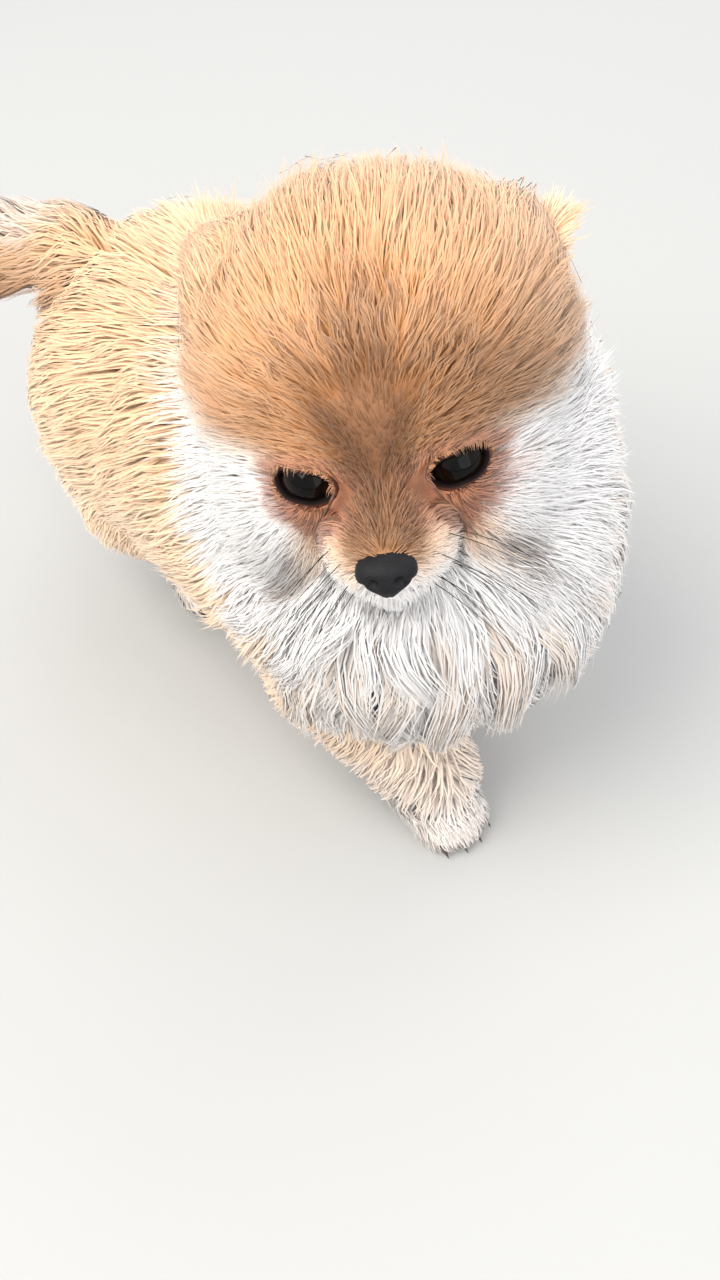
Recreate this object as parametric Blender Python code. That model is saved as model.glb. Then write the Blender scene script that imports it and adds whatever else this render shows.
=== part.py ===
"""A pomeranian puppy at life size, walking, with its head raised and turned to its right.

The whole animal is one smooth body of balls and rods that melt into each other. Each mass has
its size at the skin and its size at the tips of the coat, and a share between the two gives
every layer. Thin plane cuts part the body into head, neck, torso, tail and legs. Eyes, nose
leather and ears are pieces of their own. Lengths are in centimetres until the meshes are made.
The puppy faces -Y, its left side is +X, and the floor is z = 0.
"""

import math

import bmesh
import bpy
import numpy as np
from mathutils import Matrix

CM = 0.01
GAP = 0.03
FAR = 40.0
CORE_SHARE = 0.5

EYES_MIDDLE = np.array((-2.8, -6.6, 14.5))
HEAD_TURN = math.radians(-42.5)
HEAD_LIFT = math.radians(18.3)
HEAD_TILT = math.radians(9.7)

EYE_RADIUS = 0.85
EYE_SIDE = 1.75
EYE_SET_BACK = 0.46
EYE_OPENING = (0.84, 0.62)
LID_THICKNESS = 0.14

MOUTH_MIDDLE = (0.9, 0.0, -1.98)
MOUTH_DEPTH = 0.3

EAR_ROOT = (-3.6, 2.1, 1.9)
EAR_HALF_WIDTH = 1.3
EAR_FACING = (0.62, -0.25, 0.62)
EAR_THICKNESS = 0.3
EAR_EDGE = 0.08
EAR_HOLLOW = 0.3
EAR_CURL = 0.55
EAR_STEPS = 8
EAR_TURNS = 12
EAR_TIPS = {"right": (-6.2, -4.3, 5.0), "left": (-5.9, 5.0, 4.1)}

FRONT_PAWS = {"right": (-1.6, -8.5), "left": (2.3, -3.8)}
HIND_PAWS = {"right": (-1.6, 4.4), "left": (3.1, 8.4)}

TRUNK_FRONT = (0.1, -4.9, 8.8)
TRUNK_REAR = (0.0, 5.1, 8.7)
TRUNK_SKIN = (3.7, 3.5)
TRUNK_COAT = (5.95, 5.75)

TAIL_COURSE = ((-1.0, 7.9, 11.2), (-2.3, 9.3, 12.2), (-4.3, 10.4, 12.7), (-7.0, 10.9, 12.3))
TAIL_SKIN = (0.9, 0.6, 0.45, 0.25)
TAIL_COAT = (1.5, 1.5, 1.5, 0.85)
TAIL_PLANE_REACH = 5.5
TAIL_PLANE_AIM = np.array((-0.356, 0.661, 0.661))

LEG_CUT_HEIGHT = {"front": 3.6, "hind": 2.7}
LEG_CUT_SLOPE = {"front": 0.45, "hind": 0.95}
FRONT_LEG_BACK = -2.0
HIND_LEG_FRONT = 2.3

TRIANGLES = {"torso": 650, "neck": 400, "head": 1700, "tail": 180, "leg": 400}

ROOT_SINK = 0.4
LOCK_STATIONS = (0.0, 0.36, 0.72, 1.0)
LOCK_WIDTHS = (0.7, 1.0, 0.72)
LOCK_DEPTHS = (1.0, 1.0, 0.6)
LOCK_LIFT = 1.7
LOCK_RISES = (0.3, 1.9)
TIP_REACH = (0.95, 1.25)
CLEAR_SCALE = (1.25, 1.35)
CLEAR_ENDS = 0.15
STRETCH_LAP = 0.05
LOCK_REACH = 1.2
LOCKS = {
    "torso": {"spacing": 2.05, "width": 2.2, "depth": 0.38, "run": 4.8, "rise": 1.1, "reach": 1.0,
              "seed": 11},
    "neck": {"spacing": 1.75, "width": 1.8, "depth": 0.36, "run": 4.4, "rise": 1.1, "reach": 1.0,
             "seed": 12},
    "head": {"spacing": 1.35, "width": 1.6, "depth": 0.32, "run": 4.0, "rise": 1.1, "reach": 1.05,
             "seed": 13},
    "tail": {"spacing": 1.35, "width": 1.2, "depth": 0.3, "run": 4.2, "rise": 0.5, "reach": 1.7,
             "seed": 14},
    "leg_front": {"spacing": 1.65, "width": 1.4, "depth": 0.3, "run": 3.0, "rise": 0.7, "reach": 1.1,
                  "seed": 15},
    "leg_hind": {"spacing": 1.9, "width": 1.7, "depth": 0.32, "run": 3.6, "rise": 0.6, "reach": 1.1,
                 "seed": 20},
}

COAT_CREAM = (0.90, 0.72, 0.52)
COAT_TAN = (0.72, 0.44, 0.26)
COAT_WHITE = (0.90, 0.86, 0.80)
NOSE_BLACK = (0.03, 0.028, 0.03)
EYE_BROWN = (0.03, 0.015, 0.01)


def head_axes():
    """Forward, left and up of the turned, raised and tilted head."""
    sine_lift, cosine_lift = math.sin(HEAD_LIFT), math.cos(HEAD_LIFT)
    sine_turn, cosine_turn = math.sin(HEAD_TURN), math.cos(HEAD_TURN)
    forward = np.array((sine_turn * cosine_lift, -cosine_turn * cosine_lift, sine_lift))
    level_left = np.array((cosine_turn, sine_turn, 0.0))
    level_up = np.array((-sine_lift * sine_turn, sine_lift * cosine_turn, cosine_lift))
    left = level_left * math.cos(HEAD_TILT) + level_up * math.sin(HEAD_TILT)
    up = level_up * math.cos(HEAD_TILT) - level_left * math.sin(HEAD_TILT)
    return np.array((forward, left, up))


HEAD_AXES = head_axes()
BODY_AXES = np.eye(3)
KEPT_CLEAR = {}


def on_head(forward, left, up):
    """A place given from the middle between the eyes, along the head's own axes."""
    return EYES_MIDDLE + np.array((forward, left, up)) @ HEAD_AXES


def ball(centre, radii, coat_centre, coat_radii, axes=BODY_AXES):
    """An ellipsoid mass, from its skin to the tips of its coat."""
    ends = [np.array(value, float) for value in (centre, radii, coat_centre, coat_radii)]

    def distance(points, share):
        middle = ends[0] + share * (ends[2] - ends[0])
        size = ends[1] + share * (ends[3] - ends[1])
        local = (points - middle) @ axes.T
        reach = np.linalg.norm(local / size, axis=1)
        slope = np.linalg.norm(local / size**2, axis=1)
        return reach * (reach - 1.0) / np.maximum(slope, 1e-9)

    return distance


def rod(start, end, skin, coat):
    """A round rod that tapers from start to end, skin and coat giving its two radii."""
    start, end = np.array(start, float), np.array(end, float)
    along = end - start

    def distance(points, share):
        radii = np.array(skin) + share * (np.array(coat) - np.array(skin))
        part = np.clip((points - start) @ along / (along @ along), 0.0, 1.0)
        nearest = start + part[:, None] * along
        return np.linalg.norm(points - nearest, axis=1) - radii[0] - part * (radii[1] - radii[0])

    return distance


def melt(masses, width):
    """Masses joined with a smooth fillet of the given width."""

    def distance(points, share):
        result = masses[0](points, share)
        for mass in masses[1:]:
            other = mass(points, share)
            mix = np.clip(0.5 + 0.5 * (other - result) / width, 0.0, 1.0)
            result = other + mix * (result - other) - width * mix * (1.0 - mix)
        return result

    return distance


def head_masses():
    """Skull, brow, cheeks, muzzle with its whisker pads, lower jaw and the tufts behind the ears."""
    masses = [
        ball(on_head(-2.6, 0, 0.9), (3.1, 2.8, 2.7),
             on_head(-4.3, 0.1, 1.5), (4.9, 5.7, 5.3), HEAD_AXES),
        ball(on_head(-1.0, 0, 0.6), (1.7, 2.2, 1.7),
             on_head(-1.3, 0, 0.95), (2.25, 3.0, 2.2), HEAD_AXES),
        rod(on_head(0.0, 0, -0.9), on_head(2.15, 0, -1.3), (1.25, 0.8), (1.75, 1.02)),
        rod(on_head(-0.6, 0, -2.1), on_head(1.55, 0, -2.15), (0.95, 0.55), (1.4, 0.8)),
    ]
    for side in (-1, 1):
        masses.append(ball(on_head(-1.2, 1.75 * side, -0.8), (1.6, 1.0, 1.3),
                           on_head(-2.5, 2.9 * side, -1.2), (2.4, 2.2, 2.6), HEAD_AXES))
        masses.append(ball(on_head(1.3, 0.7 * side, -1.45), (0.8, 0.6, 0.6),
                           on_head(1.1, 0.8 * side, -1.5), (1.25, 0.85, 0.85), HEAD_AXES))
        masses.append(ball(on_head(-3.4, 2.0 * side, 2.2), (1.0, 0.8, 0.8),
                           on_head(-5.6, 3.6 * side, 3.9), (1.9, 1.9, 2.0), HEAD_AXES))
        masses.append(ball(on_head(-EYE_SET_BACK, EYE_SIDE * side, 0.0),
                           [EYE_RADIUS + LID_THICKNESS] * 3,
                           on_head(-EYE_SET_BACK, EYE_SIDE * side, 0.0),
                           [EYE_RADIUS + LID_THICKNESS + 0.04] * 3))
    return masses


def neck_masses():
    """The neck's column and the ruff and bib round it."""
    return [
        rod(on_head(-3.6, 0, -0.8), (0.0, -4.6, 9.6), (2.2, 3.3), (4.2, 4.6)),
        ball((0.1, -5.4, 9.8), (3.1, 2.9, 3.4), (0.3, -5.6, 10.3), (5.6, 4.6, 5.2)),
        ball((1.2, -4.6, 11.0), (2.4, 2.4, 2.4), (3.0, -4.4, 12.4), (3.9, 3.6, 3.6)),
    ]


def trunk_masses():
    """The barrel of the body."""
    return [rod(TRUNK_FRONT, TRUNK_REAR, TRUNK_SKIN, TRUNK_COAT)]


def thigh_masses():
    """Upper legs, which swell the body's sides."""
    masses = []
    for sign, side in ((-1, "right"), (1, "left")):
        masses.append(rod((2.3 * sign, -5.2, 8.0), (2.2 * sign, -4.8, 5.6), (1.7, 1.2), (2.6, 2.1)))
        lean = (HIND_PAWS[side][1] - 6.5) * 0.25
        masses.append(rod((2.1 * sign, 6.0, 8.4), (2.9 * sign, 5.6 + lean, 5.6), (2.4, 1.7),
                          (3.4, 2.5)))
    return masses


def paw_masses(across, along):
    """A paw with four toes, its sole a little under the floor until it is cut flat."""
    masses = [ball((across, along + 0.25, 0.85), (1.0, 1.15, 0.85),
                   (across, along + 0.3, 0.95), (1.25, 1.4, 1.1))]
    for toe in range(4):
        spread = (toe - 1.5) * 0.52
        reach = 0.62 - 0.16 * abs(toe - 1.5) ** 1.5
        masses.append(ball((across + spread, along - reach, 0.42), (0.34, 0.62, 0.46),
                           (across + spread * 1.12, along - reach - 0.12, 0.5),
                           (0.42, 0.74, 0.6)))
    return masses


def leg_masses(pair, side):
    """Lower leg and paw of one leg, from the elbow or the knee down."""
    sign = 1 if side == "left" else -1
    if pair == "front":
        across, along = FRONT_PAWS[side]
        elbow = (2.2 * sign, -4.8, 5.6)
        wrist = (across, along + 0.75, 1.9)
        return [rod(elbow, wrist, (1.2, 0.78), (3.1, 1.8)),
                *paw_masses(across, along)]
    across, along = HIND_PAWS[side]
    knee = (2.9 * sign, 5.6 + (along - 6.5) * 0.25, 5.6)
    hock = (across, along + 2.1, 3.1)
    return [rod(knee, hock, (1.5, 0.8), (2.3, 1.4)),
            rod(hock, (across, along + 0.7, 1.2), (0.75, 0.75), (1.2, 1.0)),
            *paw_masses(across, along)]


def tail_masses():
    """The tail's rods, from its root at the rump to its tip."""
    return [rod(TAIL_COURSE[step], TAIL_COURSE[step + 1], TAIL_SKIN[step:step + 2],
                TAIL_COAT[step:step + 2]) for step in range(len(TAIL_COURSE) - 1)]


HEAD_FIELD = melt(head_masses(), 0.6)
BARREL_FIELD = melt(trunk_masses() + thigh_masses() + neck_masses(), 1.4)
BODY_FIELD = melt([BARREL_FIELD, HEAD_FIELD], 0.7)
TAIL_FIELD = melt(tail_masses() + trunk_masses(), 1.0)
LEG_FIELDS = {(pair, side): melt(leg_masses(pair, side) + thigh_masses() + trunk_masses(), 0.5)
              for pair in ("front", "hind") for side in ("right", "left")}

HEAD_PLANE = (on_head(-3.8, 0.0, 0.55), 0.8 * HEAD_AXES[0] + 0.6 * HEAD_AXES[2])
NECK_PLANE = (np.array((0.0, 0.0, 15.5)), np.array((0.0, -0.687, 0.727)))
TAIL_PLANE = (np.array(TRUNK_REAR) + TAIL_PLANE_REACH * TAIL_PLANE_AIM, TAIL_PLANE_AIM)


def side_of(plane, points):
    """How far points lie past a plane, along its normal."""
    return (points - plane[0]) @ plane[1]


def surface(open_field, low, high, cell):
    """Closed mesh of the places where a field is zero, one point in each crossed cell."""

    def field(points):
        outside = np.maximum(np.array(low) - points, points - np.array(high)).max(axis=1)
        return np.maximum(open_field(points), outside)

    ticks = [np.arange(start - 1.5 * cell, stop + 2.5 * cell, cell)
             for start, stop in zip(low, high)]
    grid = np.stack(np.meshgrid(*ticks, indexing="ij"), axis=-1)
    shape = grid.shape[:3]
    value = field(grid.reshape(-1, 3)).reshape(shape)
    inside = value < 0.0
    cells = tuple(size - 1 for size in shape)
    corner = [inside[i:i + cells[0], j:j + cells[1], k:k + cells[2]]
              for i in (0, 1) for j in (0, 1) for k in (0, 1)]
    crossed = np.any(corner, axis=0) & ~np.all(corner, axis=0)
    number = np.full(cells, -1)
    number[crossed] = np.arange(np.count_nonzero(crossed))
    points = grid[:-1, :-1, :-1][crossed] + 0.5 * cell
    points = settle(field, points, cell)
    faces = []
    for axis in range(3):
        along = [slice(None)] * 3
        beyond = [slice(None)] * 3
        along[axis], beyond[axis] = slice(0, -1), slice(1, None)
        start, stop = inside[tuple(along)], inside[tuple(beyond)]
        for flip in (False, True):
            edge = (~start & stop) if flip else (start & ~stop)
            place = np.argwhere(edge)
            first, second = (axis + 1) % 3, (axis + 2) % 3
            ring = []
            for shift_first, shift_second in ((-1, -1), (0, -1), (0, 0), (-1, 0)):
                around = place.copy()
                around[:, first] += shift_first
                around[:, second] += shift_second
                ring.append(number[tuple(around.T)])
            quad = np.stack(ring[::-1] if flip else ring, axis=1)
            faces.append(quad)
    return points, np.concatenate(faces)


def settle(field, points, cell):
    """Points moved along the field's slope until they lie on its surface."""
    start = points.copy()
    for _ in range(6):
        here = field(points)
        slope = field_slope(field, points)
        step = -here / np.maximum((slope**2).sum(axis=1), 0.2)
        points = points + slope * np.clip(step, -0.5 * cell, 0.5 * cell)[:, None]
        points = np.clip(points, start - 0.75 * cell, start + 0.75 * cell)
    return points


def field_slope(field, points):
    """Direction in which a field grows fastest."""
    reach = 0.01
    slope = np.empty_like(points)
    for axis in range(3):
        step = np.zeros(3)
        step[axis] = reach
        slope[:, axis] = (field(points + step) - field(points - step)) / (2.0 * reach)
    return slope


def scatter(points, spacing, seed):
    """Numbers of points picked at random, none nearer to another than the spacing."""
    order = np.random.default_rng(seed).permutation(len(points))
    kept = []
    for number in order:
        apart = np.linalg.norm(points[kept] - points[number], axis=1)
        if apart.size == 0 or apart.min() > spacing:
            kept.append(number)
    return kept


def lie_of_trunk(points):
    """Hair on the barrel lies back and falls along the sides."""
    fall = -0.75 * np.clip(np.abs(points[:, 0]) / 4.0, 0.0, 1.0)
    return np.stack([0.1 * points[:, 0], np.full(len(points), 1.0), fall], axis=1)


def lie_round_face(points):
    """Hair of crown, cheeks, ruff and bib spreads away from the muzzle and hangs."""
    away = points - on_head(1.2, 0.0, -0.6)
    away /= np.linalg.norm(away, axis=1)[:, None]
    below = np.clip((EYES_MIDDLE[2] - points[:, 2]) / 5.0, 0.0, 1.0)
    away[:, 2] -= 0.9 * below
    return away


def lie_of_tail(points):
    """Hair of the tail runs to its tip and hangs a little."""
    course = np.array(TAIL_COURSE)
    steps = course[1:] - course[:-1]
    middles = 0.5 * (course[1:] + course[:-1])
    apart = np.linalg.norm(points[:, None] - middles[None], axis=2)
    along = steps[apart.argmin(axis=1)]
    along = along / np.linalg.norm(along, axis=1)[:, None]
    return along + np.array((0.0, 0.0, -0.25))


def lie_of_leg(points):
    """Hair of the legs falls and sweeps back."""
    return np.broadcast_to(np.array((0.0, 0.5, -0.9)), points.shape)


def lock_course(field, roots, lie, size, draw):
    """Middles and surface normals of locks at each station, shape stations by locks by 3."""

    def core(points):
        return field(points, CORE_SHARE)

    reach = size["reach"] * draw.uniform(*TIP_REACH, len(roots))
    scale = np.clip(-field(roots, 1.0) / size["rise"], 0.5, 1.1)
    run = size["run"] * scale * draw.uniform(0.85, 1.2, len(roots))
    sway = draw.uniform(-0.35, 0.35, (len(roots), 3))
    foot = roots.copy()
    middles, normals = [], []
    before = 0.0
    for part in LOCK_STATIONS:
        normal = field_slope(core, foot)
        normal /= np.linalg.norm(normal, axis=1)[:, None]
        along = lie(foot)
        along = along / np.linalg.norm(along, axis=1)[:, None] + sway * part
        along -= normal * (along * normal).sum(axis=1)[:, None]
        along /= np.linalg.norm(along, axis=1)[:, None]
        foot = foot + along * (run * (part - before))[:, None]
        foot = settle(core, foot, 0.6)
        height = reach * np.clip(-field(foot, 1.0), *LOCK_RISES) * (1.0 - (1.0 - part) ** LOCK_LIFT)
        height -= ROOT_SINK * (part == 0.0)
        middles.append(foot + normal * height[:, None])
        normals.append(normal)
        before = part
    return np.array(middles), np.array(normals), scale


def lock_points(field, roots, lie, size, clear=False):
    """Corners of flat, tapered, three-sided locks, or of the space kept clear for them."""
    draw = np.random.default_rng(size["seed"])
    middles, normals, scale = lock_course(field, roots, lie, size, draw)
    tangents = np.gradient(middles, axis=0)
    tangents /= np.linalg.norm(tangents, axis=2)[:, :, None]
    across = np.cross(tangents, normals)
    across /= np.linalg.norm(across, axis=2)[:, :, None]
    over = np.cross(across, tangents)
    broad = size["width"] * np.sqrt(scale) * draw.uniform(0.85, 1.15, len(roots))
    deep = size["depth"]
    if clear:
        broad = broad * CLEAR_SCALE[0]
        deep = deep * CLEAR_SCALE[1]
        middles[0] -= tangents[0] * CLEAR_ENDS
        middles[-1] += tangents[-1] * CLEAR_ENDS
    widths = np.array(LOCK_WIDTHS)[:, None, None] * across[:-1] * 0.5 * broad[None, :, None]
    lifts = np.array(LOCK_DEPTHS)[:, None, None] * over[:-1] * deep
    edges = np.stack([middles[:-1] + widths - 0.4 * lifts, middles[:-1] + 0.6 * lifts,
                      middles[:-1] - widths - 0.4 * lifts], axis=1)
    points = edges.reshape(-1, len(roots), 3)
    return np.concatenate([points, middles[-1:]]).transpose(1, 0, 2)


def lock_faces():
    """Triangles of one lock: its root's end, the sides from ring to ring, and the tip."""
    faces = [(0, 1, 2)]
    last = 3 * (len(LOCK_STATIONS) - 2)
    for base in range(0, last, 3):
        for edge in range(3):
            near, far = base + edge, base + (edge + 1) % 3
            faces += [(far, near, far + 3), (far + 3, near, near + 3)]
    faces += [(last + (edge + 1) % 3, last + edge, last + 3) for edge in range(3)]
    return faces


def lay_locks(thing, name, field, roots, lie, size):
    """Locks fused with their node, and the space they need kept for the nodes they overhang."""
    locks = [make_object("lock", points, lock_faces())
             for points in lock_points(field, roots, lie, size)]
    combine(thing, locks, "UNION")
    KEPT_CLEAR[name] = lock_points(field, roots, lie, size, clear=True)


def hull(points):
    """The tightest closed shape without hollows round a few points."""
    work = bmesh.new()
    for point in points:
        work.verts.new(point)
    bmesh.ops.convex_hull(work, input=work.verts)
    spare = [point for point in work.verts if not point.link_faces]
    bmesh.ops.delete(work, geom=spare, context="VERTS")
    thing = make_object("hull", [], [])
    work.to_mesh(thing.data)
    work.free()
    return thing


def clearings(name, reaches_in):
    """Cutters for the locks of another node that reach into this one, stretch by stretch."""
    cutters = []
    for points in KEPT_CLEAR[name]:
        if not reaches_in(points).any():
            continue
        for start in range(0, len(points) - 3, 3):
            near, far = points[start:start + 3], points[start + 3:start + 6]
            along = far.mean(axis=0) - near.mean(axis=0)
            along *= STRETCH_LAP / np.linalg.norm(along)
            cutters.append(hull(np.concatenate([near - along, far + along])))
    return cutters


def lock_roots(points, field, size, least_rise, allowed):
    """Evenly spread places on a core where the coat is deep enough and a lock may start."""
    deep = -field(points, 1.0) > least_rise
    free = points[deep & allowed(points)]
    return free[scatter(free, size["spacing"], size["seed"])]


def in_leg_wedge(points, pair, margin):
    """Whether points lie in the space under the body that a pair of legs fills."""
    top = LEG_CUT_HEIGHT[pair] + LEG_CUT_SLOPE[pair] * np.abs(points[:, 0])
    if pair == "front":
        along = points[:, 1] < FRONT_LEG_BACK + margin
    else:
        along = points[:, 1] > HIND_LEG_FRONT - margin
    return along & (points[:, 2] < top + margin)


def make_object(name, points, faces):
    """An object in the scene from points and faces, still in centimetres."""
    mesh = bpy.data.meshes.new(name)
    mesh.from_pydata([tuple(point) for point in points], [], [tuple(face) for face in faces])
    mesh.validate()
    thing = bpy.data.objects.new(name, mesh)
    bpy.context.scene.collection.objects.link(thing)
    return thing


def bake_modifiers(thing):
    """The object's mesh as its modifiers leave it, with the modifiers gone."""
    bpy.context.view_layer.update()
    graph = bpy.context.evaluated_depsgraph_get()
    mesh = bpy.data.meshes.new_from_object(thing.evaluated_get(graph))
    old = thing.data
    thing.modifiers.clear()
    thing.data = mesh
    mesh.name = thing.name
    bpy.data.meshes.remove(old)


def thin_out(thing, triangles):
    """Fewer triangles, kept where the surface bends most."""
    count = sum(len(face.vertices) - 2 for face in thing.data.polygons)
    if count <= triangles:
        return
    modifier = thing.modifiers.new("thin_out", "DECIMATE")
    modifier.ratio = triangles / count
    bake_modifiers(thing)


def combine(thing, others, operation):
    """One Boolean of the object with closed meshes, which are used up."""
    group = bpy.data.collections.new("operands")
    bpy.context.scene.collection.children.link(group)
    for other in others:
        bpy.context.scene.collection.objects.unlink(other)
        group.objects.link(other)
    modifier = thing.modifiers.new("combine", "BOOLEAN")
    modifier.operation = operation
    modifier.solver = "MANIFOLD"
    modifier.operand_type = "COLLECTION"
    modifier.collection = group
    bake_modifiers(thing)
    for other in others:
        mesh = other.data
        bpy.data.objects.remove(other)
        bpy.data.meshes.remove(mesh)
    bpy.data.collections.remove(group)


def keep_largest(thing):
    """Only the largest closed surface of the object stays."""
    work = bmesh.new()
    work.from_mesh(thing.data)
    unseen = set(work.faces)
    shells = []
    while unseen:
        stack = [unseen.pop()]
        shell = []
        while stack:
            face = stack.pop()
            shell.append(face)
            for edge in face.edges:
                for other in edge.link_faces:
                    if other in unseen:
                        unseen.remove(other)
                        stack.append(other)
        shells.append(shell)
    shells.sort(key=lambda shell: -sum(face.calc_area() for face in shell))
    spare = [face for shell in shells[1:] for face in shell]
    bmesh.ops.delete(work, geom=spare, context="FACES")
    loose = [point for point in work.verts if not point.link_faces]
    bmesh.ops.delete(work, geom=loose, context="VERTS")
    work.to_mesh(thing.data)
    work.free()


def slab(plane, sign, gap=0.5 * GAP):
    """A large block that fills one side of a plane, up to the gap that the cut leaves."""
    normal = plane[1] / np.linalg.norm(plane[1]) * sign
    helper = np.eye(3)[np.argmin(np.abs(normal))]
    across = np.cross(normal, helper)
    across /= np.linalg.norm(across)
    other = np.cross(normal, across)
    near = plane[0] - normal * gap
    points = [near + across * FAR * a + other * FAR * b + normal * FAR * c
              for c in (0, 1) for a, b in ((-1, -1), (1, -1), (1, 1), (-1, 1))]
    faces = ((0, 3, 2, 1), (4, 5, 6, 7), (0, 1, 5, 4), (1, 2, 6, 5), (2, 3, 7, 6), (3, 0, 4, 7))
    return make_object("slab", points, faces)


def leg_block(pair, side, gap, floor=-1.0):
    """The wedge of space under the body that one leg fills, grown or shrunk by a gap."""
    sign = 1 if side == "left" else -1
    inner = 0.5 * GAP - gap
    slope = LEG_CUT_SLOPE[pair]
    top = LEG_CUT_HEIGHT[pair] + gap * math.hypot(1.0, slope)
    outline = ((inner, floor), (FAR, floor), (FAR, top + slope * FAR), (inner, top + slope * inner))
    if pair == "front":
        low, high = -FAR, FRONT_LEG_BACK + gap
    else:
        low, high = HIND_LEG_FRONT - gap, FAR
    points = [(sign * across, along, height) for along in (low, high) for across, height in outline]
    faces = [(0, 1, 2, 3), (7, 6, 5, 4), (0, 4, 5, 1), (1, 5, 6, 2), (2, 6, 7, 3), (3, 7, 4, 0)]
    if sign < 0:
        faces = [face[::-1] for face in faces]
    return make_object("leg_block", points, faces)


def round_ball(centre, radius, turns=16, rings=10, axes=BODY_AXES, stretch=(1.0, 1.0, 1.0)):
    """A ball of rings, its poles along the last of the given axes."""
    points = [centre + np.array((0, 0, radius * stretch[2])) @ axes]
    for ring in range(1, rings):
        polar = math.pi * ring / rings
        for turn in range(turns):
            angle = 2.0 * math.pi * turn / turns
            local = radius * np.array((math.sin(polar) * math.cos(angle) * stretch[0],
                                       math.sin(polar) * math.sin(angle) * stretch[1],
                                       math.cos(polar) * stretch[2]))
            points.append(centre + local @ axes)
    points.append(centre - np.array((0, 0, radius * stretch[2])) @ axes)
    last = len(points) - 1
    faces = []
    for turn in range(turns):
        after = (turn + 1) % turns
        faces.append((0, 1 + turn, 1 + after))
        for ring in range(rings - 2):
            base = 1 + ring * turns
            faces.append((base + turn, base + turns + turn, base + turns + after, base + after))
        base = 1 + (rings - 2) * turns
        faces.append((base + turn, last, base + after))
    return points, faces


def finish(thing, colour, roughness, sharp=40.0):
    """Metres, smooth shading and the object's own material."""
    thing.data.transform(Matrix.Scale(CM, 4))
    thing.data.shade_smooth()
    thing.data.set_sharp_from_angle(angle=math.radians(sharp))
    material = bpy.data.materials.new(thing.name)
    material.use_nodes = True
    shader = material.node_tree.nodes["Principled BSDF"]
    shader.inputs["Base Color"].default_value = (*colour, 1.0)
    shader.inputs["Roughness"].default_value = roughness
    shader.inputs["Metallic"].default_value = 0.0
    thing.data.materials.clear()
    thing.data.materials.append(material)
    return thing


def within(field, share, planes):
    """A field at one share of the coat, closed off past the planes given with their side."""

    def distance(points):
        result = field(points, share)
        for plane, sign, margin in planes:
            result = np.maximum(result, -sign * side_of(plane, points) - margin)
        return result

    return distance


def build_head():
    """Skull, cheeks, muzzle and jaw, with sockets for eyes, nose and ears."""
    field = within(BODY_FIELD, CORE_SHARE, ((HEAD_PLANE, 1, 0.5),))
    points, faces = surface(field, (-11, -13, 8), (8, 5, 22), 0.26)
    head = make_object("head", points, faces)
    thin_out(head, TRIANGLES["head"])

    def allowed(places):
        local = (places - EYES_MIDDLE) @ HEAD_AXES.T
        return (side_of(HEAD_PLANE, places) > 0.2) & (local[:, 0] < 0.2)

    combine(head, [slab(HEAD_PLANE, -1)], "DIFFERENCE")
    roots = lock_roots(points, BODY_FIELD, LOCKS["head"], 0.45, allowed)
    lay_locks(head, "head", BODY_FIELD, roots, lie_round_face, LOCKS["head"])
    cutters = [nose_shape("nose_seat", GAP), mouth_blade()]
    for side in (-1, 1):
        cutters.append(eye_ball("eye_seat", side, GAP))
        cutters.append(eye_gap(side))
        cutters.append(ear_shape("ear_seat", side, GAP))
    combine(head, cutters, "DIFFERENCE")
    keep_largest(head)
    return finish(head, COAT_TAN, 0.9)


def build_neck():
    """The ruff, the bib and the mane, between the head and the torso."""
    field = within(BODY_FIELD, CORE_SHARE, ((NECK_PLANE, 1, 1.0), (HEAD_PLANE, -1, 1.0)))
    points, faces = surface(field, (-10, -14, 2), (10, 8, 22), 0.6)
    neck = make_object("neck", points, faces)
    thin_out(neck, TRIANGLES["neck"])

    def allowed(places):
        free = (side_of(NECK_PLANE, places) > 0.2) & (side_of(HEAD_PLANE, places) < -0.3)
        return free & ~in_leg_wedge(places, "front", 0.1)

    combine(neck, [slab(NECK_PLANE, -1)], "DIFFERENCE")
    roots = lock_roots(points, BODY_FIELD, LOCKS["neck"], 0.5, allowed)
    lay_locks(neck, "neck", BODY_FIELD, roots, lie_round_face, LOCKS["neck"])
    cutters = clearings("head", lambda places: side_of(HEAD_PLANE, places) < GAP)
    cutters += [leg_block(pair, side, 0.5 * GAP) for pair, side in LEG_FIELDS]
    combine(neck, [slab(HEAD_PLANE, 1), *cutters], "DIFFERENCE")
    keep_largest(neck)
    return finish(neck, COAT_WHITE, 0.9)


def build_torso():
    """Barrel, withers and rump, between the neck's cut and the tail's cut."""
    field = within(BODY_FIELD, CORE_SHARE, ((NECK_PLANE, -1, 1.0), (TAIL_PLANE, -1, 1.0)))
    points, faces = surface(field, (-10, -13, 1), (10, 14, 21), 0.6)
    torso = make_object("torso", points, faces)
    thin_out(torso, TRIANGLES["torso"])

    def allowed(places):
        free = (side_of(NECK_PLANE, places) < -0.3) & (side_of(TAIL_PLANE, places) < -0.2)
        free &= side_of(HEAD_PLANE, places) < -0.3
        return free & ~in_leg_wedge(places, "front", 0.3) & ~in_leg_wedge(places, "hind", 0.3)

    blocks = [leg_block(pair, side, 0.5 * GAP) for pair, side in LEG_FIELDS]
    combine(torso, [slab(TAIL_PLANE, 1), *blocks], "DIFFERENCE")
    roots = lock_roots(points, BODY_FIELD, LOCKS["torso"], 0.5, allowed)
    lay_locks(torso, "torso", BODY_FIELD, roots, lie_of_trunk, LOCKS["torso"])
    cutters = clearings("head", lambda places: side_of(HEAD_PLANE, places) < GAP)
    cutters += clearings("neck", lambda places: side_of(NECK_PLANE, places) < GAP)
    combine(torso, [slab(NECK_PLANE, 1), slab(HEAD_PLANE, 1), *cutters], "DIFFERENCE")
    keep_largest(torso)
    return finish(torso, COAT_CREAM, 0.9)


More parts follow.
